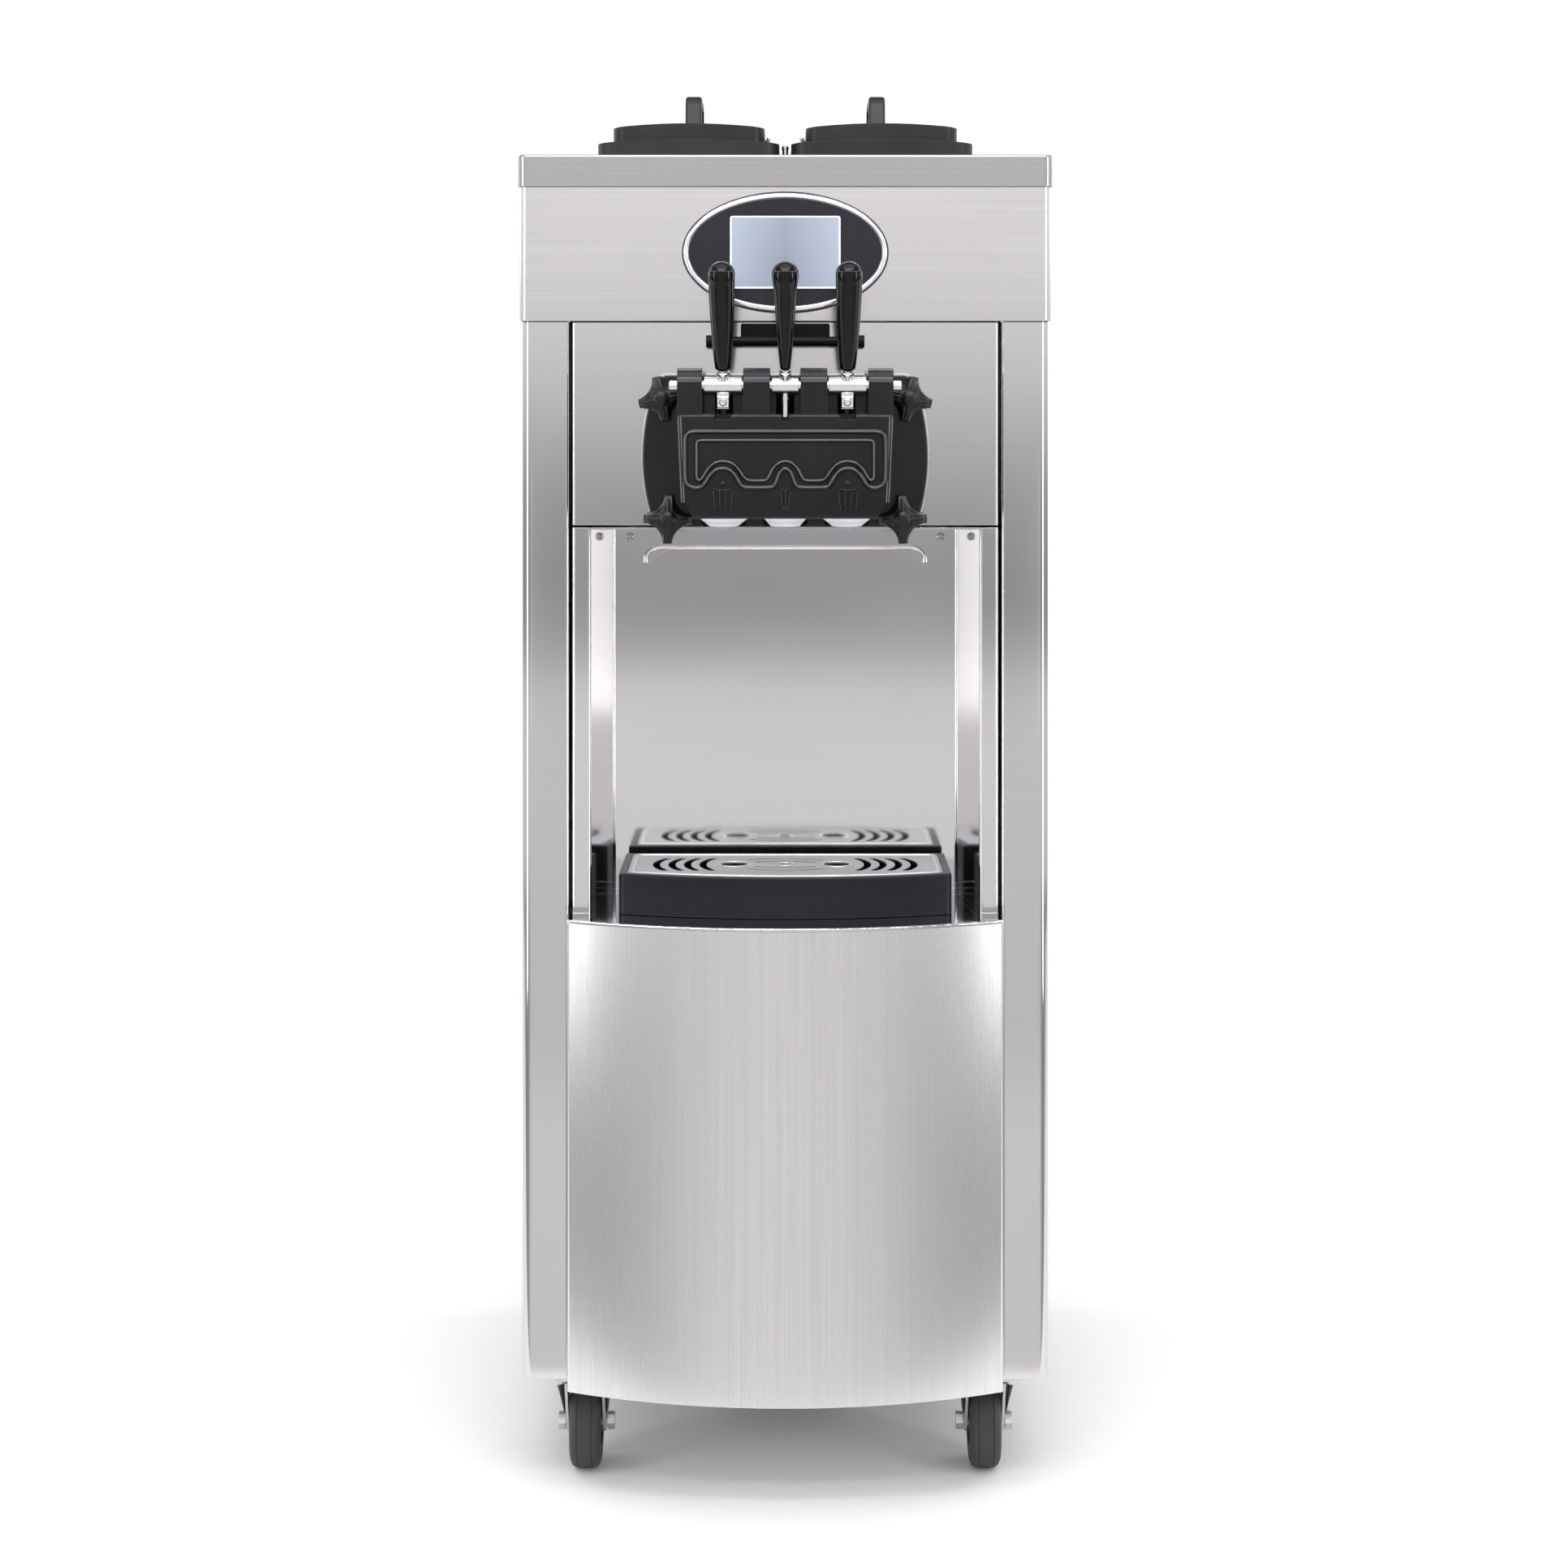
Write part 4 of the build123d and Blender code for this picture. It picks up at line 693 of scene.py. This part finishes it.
class SOFTSERVE_OT_lever_fittings(bpy.types.Operator):
    """Add the adjusting screws and gussets of the two outer draw levers"""

    bl_idname = "softserve.lever_fittings"
    bl_label = "Lever Fittings"

    def execute(self, context):
        pin_low, pin_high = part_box("pivot_pin")
        axis_y, axis_z = (pin_low.y + pin_high.y) / 2, (pin_low.z + pin_high.z) / 2
        front = axis_y - 0.0035
        chrome = bpy.data.materials["Turned Chrome"]
        lean = Matrix.Rotation(GRIP_LEAN, 3, "X")
        for name in SIDES:
            low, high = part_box(f"grip_{name}")
            middle = (low.x + high.x) / 2
            shape = bmesh.new()
            add_block(shape, (middle, front + 0.0006, axis_z - 0.0165), (0.0125, 0.0036, 0.012), 0.0012)
            add_lathe(shape, [(-0.001, 0.0036), (0.0018, 0.0036), (0.0024, 0.0030), (0.0024, 0.0019),
                              (-0.0008, 0.0018)], (middle, front - 0.0008, axis_z - 0.0165), (0, -1, 0), 24)
            for way in (-1, 1):
                gusset = (middle + way * 0.0052, axis_y - 0.0052, axis_z + 0.0105)
                add_block(shape, gusset, (0.0022, 0.005, 0.012), 0.0008, lean)
            fittings = finished_mesh(f"lever_fittings_{name}", shape)
            add_piece(f"lever_fittings_{name}", fittings, f"handle_{name}", chrome)
        return {"FINISHED"}


KNOB_TURNS = {"top_left": -12, "top_right": 12, "bottom_left": 2, "bottom_right": -2}


def star_ring(centre, turn, reach, tip, waist, y):
    """One ring of a four-pointed star knob, at a depth y."""
    points = []
    quarter = arc_points((reach, tip), (waist * math.cos(math.pi / 4), waist * math.sin(math.pi / 4)),
                         (tip, reach), 11)
    flat = [(reach, -tip * 0.55), (reach * 1.012, 0.0), (reach, tip * 0.55)]
    for step in range(4):
        angle = turn + math.tau * step / 4
        c, s = math.cos(angle), math.sin(angle)
        for x, z in flat + quarter:
            points.append(Vector((centre.x + x * c - z * s, y, centre.z + x * s + z * c)))
    return points


class SOFTSERVE_OT_star_knobs(bpy.types.Operator):
    """Model the four star knobs that clamp the head, with their sloping arms and domed hubs"""

    bl_idname = "softserve.star_knobs"
    bl_label = "Star Knobs"

    def execute(self, context):
        for place, turn in KNOB_TURNS.items():
            low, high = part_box(f"star_knob_{place}")
            centre = (low + high) / 2
            reach = 0.0227 if place.startswith("top") else 0.0245
            turn = math.radians(-turn)
            back = high.y
            shape = bmesh.new()
            steps = (
                (0.0064, 0.80, 0.0030, 0.0126), (0.0066, 0.97, 0.0040, 0.0141), (0.0080, 1.0, 0.0045, 0.0147),
                (0.0155, 1.0, 0.0045, 0.0147), (0.0172, 0.98, 0.0041, 0.0141), (0.0184, 0.93, 0.0034, 0.0130),
                (0.0204, 0.70, 0.0038, 0.0112), (0.0218, 0.46, 0.0046, 0.0086),
            )
            add_rings(shape, [
                star_ring(centre, turn, reach * grow, tip, waist, back - depth)
                for depth, grow, tip, waist in steps
            ])
            boss = [(0.0, 0.0084), (0.0070, 0.0085)]
            cap = [(0.0190, 0.0086), (0.0226, 0.0080), (0.0240, 0.0062), (0.0247, 0.0036), (0.0248, 0.0010)]
            for profile in (boss, cap):
                add_lathe(shape, profile, (centre.x, back, centre.z), OUTWARD, 32)
            for arm in range(4):
                angle = turn + math.tau * arm / 4
                way = Vector((math.cos(angle), 0, math.sin(angle)))
                line = [
                    Vector((centre.x, 0, centre.z)) + way * reach * share + Vector((0, back - depth, 0))
                    for share, depth in ((0.30, 0.0220), (0.45, 0.0213), (0.62, 0.0204), (0.82, 0.0194))
                ]
                add_bead(shape, line, OUTWARD, 0.0011, 0.0011, closed=False, count=8)
            knob = finished_mesh(f"clamp_knob_{place}", shape, 42)
            piece = add_piece(f"clamp_knob_{place}", knob, f"knob_{place}",
                              bpy.data.materials["Knob Moulding"])
            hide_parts(f"star_knob_{place}")
        return {"FINISHED"}


class SOFTSERVE_OT_nozzle_domes(bpy.types.Operator):
    """Model the clear domed nozzles under the head"""

    bl_idname = "softserve.nozzle_domes"
    bl_label = "Nozzle Domes"

    def execute(self, context):
        tips_low, tips_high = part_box("nozzle_tips")
        axis_y = (tips_low.y + tips_high.y) / 2
        for name, place in NOZZLE_PLACES.items():
            middle = place * MM
            wide = 0.0119 if name != "centre" else 0.0100
            shape = bmesh.new()
            drop = tips_high.z - tips_low.z
            profile = [
                (0.0, 0.0060), (0.0001, 0.0118), (0.0058, 0.0118), (0.0062, wide),
                (drop * 0.72, wide * 0.96), (drop * 0.86, wide * 0.82), (drop * 0.95, wide * 0.62),
                (drop * 0.995, wide * 0.44), (drop * 0.99, wide * 0.38), (drop * 0.5, wide * 0.34),
                (drop * 0.15, wide * 0.45),
            ]
            add_lathe(shape, profile, (middle, axis_y, tips_high.z), (0, 0, -1), 40)
            dome = finished_mesh(f"nozzle_dome_{name}", shape, 50)
            piece = add_piece(f"nozzle_dome_{name}", dome, "cabinet",
                              bpy.data.materials["Clear Nozzle"])
            if name == "left":
                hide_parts("nozzle_tips")
        return {"FINISHED"}


def rounded_rectangle(low, high, y, radius, count=6):
    """Points round an upright rectangle with rounded corners, at a depth y."""
    points = []
    for x, z, start in ((high.x - radius, high.z - radius, 0), (low.x + radius, high.z - radius, 90),
                        (low.x + radius, low.z + radius, 180), (high.x - radius, low.z + radius, 270)):
        for step in range(count + 1):
            angle = math.radians(start + 90 * step / count)
            points.append(Vector((x + radius * math.cos(angle), y, z + radius * math.sin(angle))))
    return points


class SOFTSERVE_OT_display_trim(bpy.types.Operator):
    """Add the pale line round the screen and the dark seal round the oval ring"""

    bl_idname = "softserve.display_trim"
    bl_label = "Display Trim"

    def execute(self, context):
        settings = context.scene.softserve_display
        width = settings.border_width / 2
        shape = bmesh.new()
        inset = Vector((width, 0, width))
        line = rounded_rectangle(SCREEN_LOW + inset, SCREEN_HIGH - inset, SCREEN_LOW.y, 0.0022)
        add_bead(shape, line, OUTWARD, width, 0.0003, count=6)
        border = finished_mesh("screen_border", shape)
        paint = moulded("Screen Border", settings.border, 0.4, 900, 0.03, 0.05, 0.0)
        add_piece("screen_border", border, "cabinet", paint)
        ring_low, ring_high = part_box("display_ring")
        centre = (ring_low + ring_high) / 2
        half_x, half_z = (ring_high.x - ring_low.x) / 2 + 0.0009, (ring_high.z - ring_low.z) / 2 + 0.0009
        seal = bmesh.new()
        points = oval(Vector((centre.x, HOOD_LOW.y, centre.z)), Vector((1, 0, 0)), UP, half_x, half_z, 96)
        add_bead(seal, points, OUTWARD, 0.0009, 0.0007, count=8)
        add_piece("display_seal", finished_mesh("display_seal", seal), "cabinet",
                  bpy.data.materials["Sealing Rubber"])
        return {"FINISHED"}


class SOFTSERVE_OT_tray_trim(bpy.types.Operator):
    """Add the grille's rolled border and the rings round its cup holes"""

    bl_idname = "softserve.tray_trim"
    bl_label = "Drip Tray Trim"

    def execute(self, context):
        low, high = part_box("drip_grille")
        top = high.z
        edge = 0.0042
        half = high.x - edge
        corner_y = low.y + 0.0272
        front = arc_points((-half, corner_y), (0, low.y + edge), (half, corner_y), 41)
        outline = [Vector((x, y, top)) for x, y in front]
        outline += [Vector((half, high.y - edge, top)), Vector((-half, high.y - edge, top))]
        straight = []
        for here, there in zip(outline, outline[1:] + outline[:1]):
            parts = max(1, int((there - here).length / 0.012))
            straight += [here.lerp(there, part / parts) for part in range(parts)]
        shape = bmesh.new()
        add_bead(shape, softened(straight, 1), UP, 0.0021, 0.0011, count=10)
        for middle, radius in GRILLE_HOLES:
            ring = oval(Vector((middle, GRILLE_HOLE_Y, top)), Vector((1, 0, 0)), Vector((0, 1, 0)), radius,
                        radius, 48)
            add_bead(shape, ring, UP, 0.0013, 0.0009, count=8)
        add_piece("grille_border", finished_mesh("grille_border", shape), "grille",
                  bpy.data.materials["Zinc Plate"])
        return {"FINISHED"}


class SOFTSERVE_OT_lid_trim(bpy.types.Operator):
    """Add the lids' steel clips with their rounded tops, and the stop post between the lids"""

    bl_idname = "softserve.lid_trim"
    bl_label = "Lid Trim"

    def execute(self, context):
        for name, side in SIDES.items():
            low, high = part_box(f"hopper_lid_{name}")
            middle = (low.x + high.x) / 2
            shape = bmesh.new()
            for reach in (-0.128, 0.148):
                inner = middle - side * (high.x - low.x) / 2 + side * 0.0115
                add_block(shape, (inner, low.y + 0.21 + reach, low.z + 0.0250), (0.0070, 0.018, 0.0110),
                          0.0015)
                add_lathe(shape, [(-0.012, 0.0016), (-0.0118, 0.0024), (0.0118, 0.0024), (0.012, 0.0016)],
                          (inner, low.y + 0.21 + reach, low.z + 0.0310), (0, 1, 0), 16)
            add_piece(f"lid_clips_{name}", finished_mesh(f"lid_clips_{name}", shape), f"lid_{name}",
                      bpy.data.materials["Turned Chrome"])
        counter_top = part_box("counter_top")[1].z
        post = bmesh.new()
        profile = [(-0.0005, 0.0034), (0.0, 0.0052), (0.0020, 0.0052), (0.0026, 0.0032), (0.0150, 0.0032),
                   (0.0158, 0.0038), (0.0190, 0.0036), (0.0202, 0.0020)]
        add_lathe(post, profile, (0, -0.142, counter_top), UP, 24)
        add_piece("lid_stop_post", finished_mesh("lid_stop_post", post), "cabinet",
                  bpy.data.materials["Turned Chrome"])
        return {"FINISHED"}


class SOFTSERVE_OT_casters(bpy.types.Operator):
    """Model the casters' moulded covers, treaded wheels and hub caps"""

    bl_idname = "softserve.casters"
    bl_label = "Casters"

    def execute(self, context):
        cover_paint = moulded("Caster Cover", (0.010, 0.010, 0.011), 0.4, 800, 0.2, 0.5, 0.001)
        tread = moulded("Wheel Tread", context.scene.softserve_plastic.rubber, 0.62, 500, 0.3, 0.6, 0.0012)
        for row in ("front", "rear"):
            for side in SIDES:
                corner = f"{row}_{side}"
                low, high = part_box(f"caster_wheel_{corner}")
                centre = (low + high) / 2
                pivot_y = centre.y - 0.025
                shape = bmesh.new()
                for way in (-1, 1):
                    rings = []
                    for z, y, inner, outer, half in ((0.1040, pivot_y, 0.0206, 0.0285, 0.0250),
                                                     (0.0985, pivot_y + 0.001, 0.0206, 0.0280, 0.0245),
                                                     (0.0860, pivot_y + 0.008, 0.0207, 0.0262, 0.0205),
                                                     (0.0720, pivot_y + 0.015, 0.0208, 0.0242, 0.0165),
                                                     (0.0600, pivot_y + 0.021, 0.0209, 0.0228, 0.0130),
                                                     (0.0575, pivot_y + 0.022, 0.0210, 0.0222, 0.0110)):
                        middle = centre.x + way * (inner + outer) / 2
                        rings.append(oval(Vector((middle, y, z)), Vector((1, 0, 0)), Vector((0, 1, 0)),
                                          (outer - inner) / 2, half, 28, 3.2))
                    add_rings(shape, rings)
                cover = finished_mesh(f"caster_cover_{corner}", shape, 60)
                add_piece(f"caster_cover_{corner}", cover, f"fork_{corner}", cover_paint)
                wheel = bmesh.new()
                half = (high.x - low.x) / 2
                radius = (high.z - low.z) / 2
                rim = [
                    (0.0028, 0.0053), (0.0010, 0.0090), (0.0004, 0.0118), (0.0030, 0.0128), (0.0032, 0.0236),
                    (0.0002, 0.0246), (0.0, 0.0300), (0.0004, radius - 0.0072), (0.0026, radius - 0.0024),
                    (0.0062, radius - 0.0002), (0.0078, radius), (0.0084, radius - 0.0007), (0.0090, radius),
                ]
                profile = [(inset - half, reach) for inset, reach in rim]
                profile += [(half - inset, reach) for inset, reach in reversed(rim)]
                add_lathe(wheel, profile, centre, (1, 0, 0), 72)
                piece = add_piece(f"caster_tyre_{corner}", finished_mesh(f"caster_tyre_{corner}", wheel, 30),
                                  f"wheel_{corner}", tread)
                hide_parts(f"caster_wheel_{corner}")
        return {"FINISHED"}


def add_louvre(shape, centre, along, outward, half_length, half_height, rise):
    """Add one pressed louvre: a long dome that stands over the upper half of a vent slot."""
    rings = []
    for share in (-1.0, -0.99, -0.965, -0.92, -0.6, 0.0, 0.6, 0.92, 0.965, 0.99, 1.0):
        fall = math.sqrt(max(0.0, 1 - ((abs(share) - 0.9) / 0.1) ** 2)) if abs(share) > 0.9 else 1.0
        fall = max(fall, 0.12)
        place = centre + along * half_length * share
        rings.append(oval(place, UP, outward, half_height * fall, rise * fall, 12))
    add_rings(shape, rings)


class SOFTSERVE_OT_bay_rib(bpy.types.Operator):
    """Press the stiffening rib into the bay's back wall"""

    bl_idname = "softserve.bay_rib"
    bl_label = "Bay Rib"

    def execute(self, context):
        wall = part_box("bay_liner")[1].y - 0.002
        right = [(149.2, 930.0), (148.8, 935.5), (146.4, 940.5), (142.0, 944.2), (136.5, 946.2),
                 (130.0, 946.6), (100.0, 946.6), (50.0, 946.6), (0, 946.6)]
        line = [(-x, z) for x, z in right] + [(x, z) for x, z in reversed(right) if x > 0]
        shape = bmesh.new()
        points = [Vector((x * MM, wall, z * MM)) for x, z in line]
        add_bead(shape, points, OUTWARD, 0.0026, 0.0022, closed=False, count=14)
        add_piece("bay_rib", finished_mesh("bay_rib", shape, 60), "cabinet",
                  bpy.data.materials["Bay Steel"])
        return {"FINISHED"}


class SOFTSERVE_OT_louvres(bpy.types.Operator):
    """Press a louvre over each vent slot in the sides and the back"""

    bl_idname = "softserve.louvres"
    bl_label = "Vent Louvres"

    def execute(self, context):
        for name, side in SIDES.items():
            low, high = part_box(f"side_panel_{name}")
            wall = low.x if side < 0 else high.x
            shape = bmesh.new()
            for row in range(12):
                for middle in (0.115, 0.265):
                    add_louvre(shape, Vector((wall, middle, 0.2043 + 0.018 * row)), Vector((0, 1, 0)),
                               Vector((side, 0, 0)), 0.0635, 0.0044, 0.0022)
            louvres = finished_mesh(f"side_louvres_{name}", shape, 60)
            add_piece(f"side_louvres_{name}", louvres, "cabinet",
                      bpy.data.materials["Column Steel"])
        shape = bmesh.new()
        for row in range(16):
            add_louvre(shape, Vector((0.090, REAR_HIGH.y, 0.1838 + 0.016 * row)), Vector((1, 0, 0)),
                       Vector((0, 1, 0)), 0.1235, 0.0042, 0.0032)
        for row in range(8):
            for middle in (-0.075, 0.075):
                add_louvre(shape, Vector((middle, REAR_HIGH.y, 1.0275 + 0.016 * row)), Vector((1, 0, 0)),
                           Vector((0, 1, 0)), 0.0635, 0.0040, 0.0032)
        add_piece("rear_louvres", finished_mesh("rear_louvres", shape, 60), "cabinet",
                  bpy.data.materials["Hood Steel"])
        return {"FINISHED"}


class SOFTSERVE_OT_screws(bpy.types.Operator):
    """Model the domed socket screws in the bay and the back panel"""

    bl_idname = "softserve.screws"
    bl_label = "Panel Screws"

    def execute(self, context):
        screws = NODES["panel_screws"]
        low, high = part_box("panel_screws")
        shape = bmesh.new()
        bay_screw = [(0.0, 0.0045), (0.0006, 0.0044), (0.0017, 0.0035), (0.0022, 0.0024), (0.0022, 0.0018),
                     (0.0008, 0.0016)]
        back_screw = [(0.0, 0.0052), (0.0008, 0.0052), (0.0018, 0.0042), (0.0023, 0.0028), (0.0023, 0.0020),
                      (0.0008, 0.0018)]
        for side in (-1, 1):
            add_lathe(shape, bay_screw, (side * 0.166, low.y + 0.0022, 0.9577), OUTWARD, 24)
            for z in (0.140, 0.640, 1.140):
                add_lathe(shape, back_screw, (side * 0.245, high.y - 0.0023, z), (0, 1, 0), 24)
        piece = add_piece("socket_screws", finished_mesh("socket_screws", shape), "cabinet",
                          screws.data.materials[0])
        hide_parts("panel_screws")
        return {"FINISHED"}


# ---------------------------------------------------------------- studio


def plain_light(label, place, target, size, power):
    """A soft rectangular light aimed at a point."""
    lamp = bpy.data.lights.new(label, "AREA")
    lamp.shape = "RECTANGLE"
    lamp.size, lamp.size_y = size
    lamp.energy = power
    holder = bpy.data.objects.new(label, lamp)
    holder.location = place
    holder.rotation_euler = (Vector(target) - Vector(place)).to_track_quat("-Z", "Y").to_euler()
    bpy.context.scene.collection.objects.link(holder)


def studio_world():
    """A pale room with broad bands of light and shade, plain white straight behind the machine."""
    world = bpy.data.worlds.new("Studio Room")
    world.use_nodes = True
    bpy.context.scene.world = world
    tree = world.node_tree
    background = tree.nodes["Background"]
    place = tree.nodes.new("ShaderNodeTexCoord")
    split = tree.nodes.new("ShaderNodeSeparateXYZ")
    tree.links.new(place.outputs["Generated"], split.inputs[0])
    ramp = tree.nodes.new("ShaderNodeValToRGB")
    height = tree.nodes.new("ShaderNodeMapRange")
    height.inputs["From Min"].default_value = -0.5
    height.inputs["From Max"].default_value = 0.5
    tree.links.new(split.outputs["Z"], height.inputs["Value"])
    tree.links.new(height.outputs["Result"], ramp.inputs[0])
    aside = tree.nodes.new("ShaderNodeMapRange")
    aside.interpolation_type = "SMOOTHSTEP"
    for name, value in (("From Min", 0.16), ("From Max", 0.72), ("To Min", 1.0), ("To Max", 0.42)):
        aside.inputs[name].default_value = value
    tree.links.new(math_node(tree, "ABSOLUTE", split.outputs["X"], 0.0), aside.inputs["Value"])
    below = math_node(tree, "LESS_THAN", split.outputs["Z"], -0.17)
    shade = math_node(tree, "MULTIPLY", math_node(tree, "SUBTRACT", aside.outputs["Result"], 1.0), below)
    dimmed = tree.nodes.new("ShaderNodeVectorMath")
    dimmed.operation = "SCALE"
    tree.links.new(ramp.outputs["Color"], dimmed.inputs[0])
    tree.links.new(math_node(tree, "ADD", shade, 1.0), dimmed.inputs["Scale"])
    stops = ((0.0, 0.80), (0.18, 0.82), (0.25, 0.86), (0.268, 0.76), (0.285, 0.73), (0.313, 0.75),
             (0.371, 0.80),
             (0.402, 0.80), (0.416, 0.46), (0.434, 0.34), (0.452, 0.38), (0.476, 0.44), (0.506, 0.74),
             (0.535, 0.92),
             (0.555, 0.90), (0.566, 1.0), (0.578, 1.45), (0.61, 1.45), (0.64, 0.90), (0.70, 0.28),
             (0.82, 0.25),
             (0.86, 2.4), (0.96, 2.4), (1.0, 0.5))
    elements = ramp.color_ramp.elements
    elements[0].position, elements[1].position = stops[0][0], stops[-1][0]
    for position, _ in stops[1:-1]:
        elements.new(position)
    for element, (_, value) in zip(elements, stops):
        element.color = (value, value * 0.985, value * 0.995, 1)
    path = tree.nodes.new("ShaderNodeLightPath")
    mixed = tree.nodes.new("ShaderNodeMix")
    mixed.data_type = "RGBA"
    tree.links.new(path.outputs["Is Camera Ray"], mixed.inputs["Factor"])
    tree.links.new(dimmed.outputs[0], mixed.inputs[6])
    mixed.inputs[7].default_value = (1, 1, 1, 1)
    tree.links.new(mixed.outputs[2], background.inputs["Color"])


class SOFTSERVE_OT_stage(bpy.types.Operator):
    """Set the floor, the soft studio light and the camera"""

    bl_idname = "softserve.stage"
    bl_label = "Studio"

    def execute(self, context):
        settings = context.scene.softserve_studio
        shape = bmesh.new()
        half = 3.2
        profile = [(-0.56, 0.0), (0.0, 0.0), (2.4, 0.0)]
        profile += [(2.4 + 1.2 * math.sin(a),
                     1.2 - 1.2 * math.cos(a)) for a in (math.pi / 2 * k / 12 for k in range(1, 13))]
        profile += [(3.6, 4.2)]
        rows = [[shape.verts.new((x, y, z)) for x in (-half, half)] for y, z in profile]
        for here, there in zip(rows, rows[1:]):
            shape.faces.new((here[0], here[1], there[1], there[0]))
        mesh = bpy.data.meshes.new("studio_floor")
        shape.to_mesh(mesh)
        shape.free()
        floor = bpy.data.objects.new("studio_floor", mesh)
        context.scene.collection.objects.link(floor)
        for face in mesh.polygons:
            face.use_smooth = True
        paint = moulded("Studio Floor", settings.floor, 0.6, 40, 0.004, 0.01, 0.0)
        mesh.materials.append(paint)
        studio_world()
        plain_light("Top Softbox", (0, -0.9, 2.9), (0, 0.1, 0.6), (2.6, 1.8), settings.top_power)
        for side in (-1, 1):
            name = "Left" if side < 0 else "Right"
            plain_light(f"{name} Side Strip", (side * 1.7, -1.3, 1.2), (0, -0.2, 1.0), (0.22, 2.2),
                        settings.strip_power)
            plain_light(f"{name} Front Strip", (side * 0.70, -3.0, 0.72), (side * 0.2, 0, 0.8), (0.24, 0.55),
                        settings.fill_power)
            plain_light(f"{name} Backdrop", (side * 2.4, 1.4, 2.2), (side * 0.6, 3.2, 0.9), (1.4, 1.8),
                        settings.top_power * 1.2)
        plain_light("Overhead Strip", (0, -1.35, 2.35), (0, -0.3, 1.0), (1.7, 0.14),
                    settings.strip_power * 0.8)
        plain_light("Front Bank", (0, -2.4, 2.55), (0, -0.3, 1.1), (2.0, 0.22), settings.strip_power * 1.2)
        eye = bpy.data.cameras.new("Camera")
        eye.lens = settings.lens
        eye.sensor_width = 36
        eye.shift_x = -0.0008
        eye.shift_y = -0.2308
        camera = bpy.data.objects.new("Camera", eye)
        camera.location = (0, -settings.camera_distance, settings.camera_height)
        camera.rotation_euler = (math.pi / 2, 0, 0)
        context.scene.collection.objects.link(camera)
        context.scene.camera = camera
        context.scene.view_settings.view_transform = "Standard"
        return {"FINISHED"}


# ---------------------------------------------------------------- panel and registration


OPERATORS = (
    SOFTSERVE_OT_frame_finishes,
    SOFTSERVE_OT_head_relief,
    SOFTSERVE_OT_grips,
    SOFTSERVE_OT_lever_fittings,
    SOFTSERVE_OT_star_knobs,
    SOFTSERVE_OT_nozzle_domes,
    SOFTSERVE_OT_display_trim,
    SOFTSERVE_OT_tray_trim,
    SOFTSERVE_OT_lid_trim,
    SOFTSERVE_OT_casters,
    SOFTSERVE_OT_bay_rib,
    SOFTSERVE_OT_louvres,
    SOFTSERVE_OT_screws,
    SOFTSERVE_OT_stage,
)
SETTINGS = {
    "softserve_steel": SteelSettings,
    "softserve_plastic": PlasticSettings,
    "softserve_display": DisplaySettings,
    "softserve_relief": ReliefSettings,
    "softserve_studio": StudioSettings,
}


class SOFTSERVE_PT_machine(bpy.types.Panel):
    """Sizes, colours and steps of the soft-serve machine"""

    bl_idname = "SOFTSERVE_PT_machine"
    bl_label = "Soft-Serve Machine"
    bl_space_type = "VIEW_3D"
    bl_region_type = "UI"
    bl_category = "Soft Serve"

    def draw(self, context):
        for name, group in SETTINGS.items():
            box = self.layout.box()
            settings = getattr(context.scene, name)
            for setting in group.__annotations__:
                box.prop(settings, setting)
        column = self.layout.column()
        for operator in OPERATORS:
            column.operator(operator.bl_idname)


CLASSES = (*SETTINGS.values(), *OPERATORS, SOFTSERVE_PT_machine)


def register():
    for each in CLASSES:
        bpy.utils.register_class(each)
    for name, group in SETTINGS.items():
        setattr(bpy.types.Scene, name, PointerProperty(type=group))


def unregister():
    for name in SETTINGS:
        delattr(bpy.types.Scene, name)
    for each in reversed(CLASSES):
        bpy.utils.unregister_class(each)


def main():
    register()
    for operator in OPERATORS:
        family, step = operator.bl_idname.split(".")
        getattr(getattr(bpy.ops, family), step)()


if __name__ == "__main__":
    main()
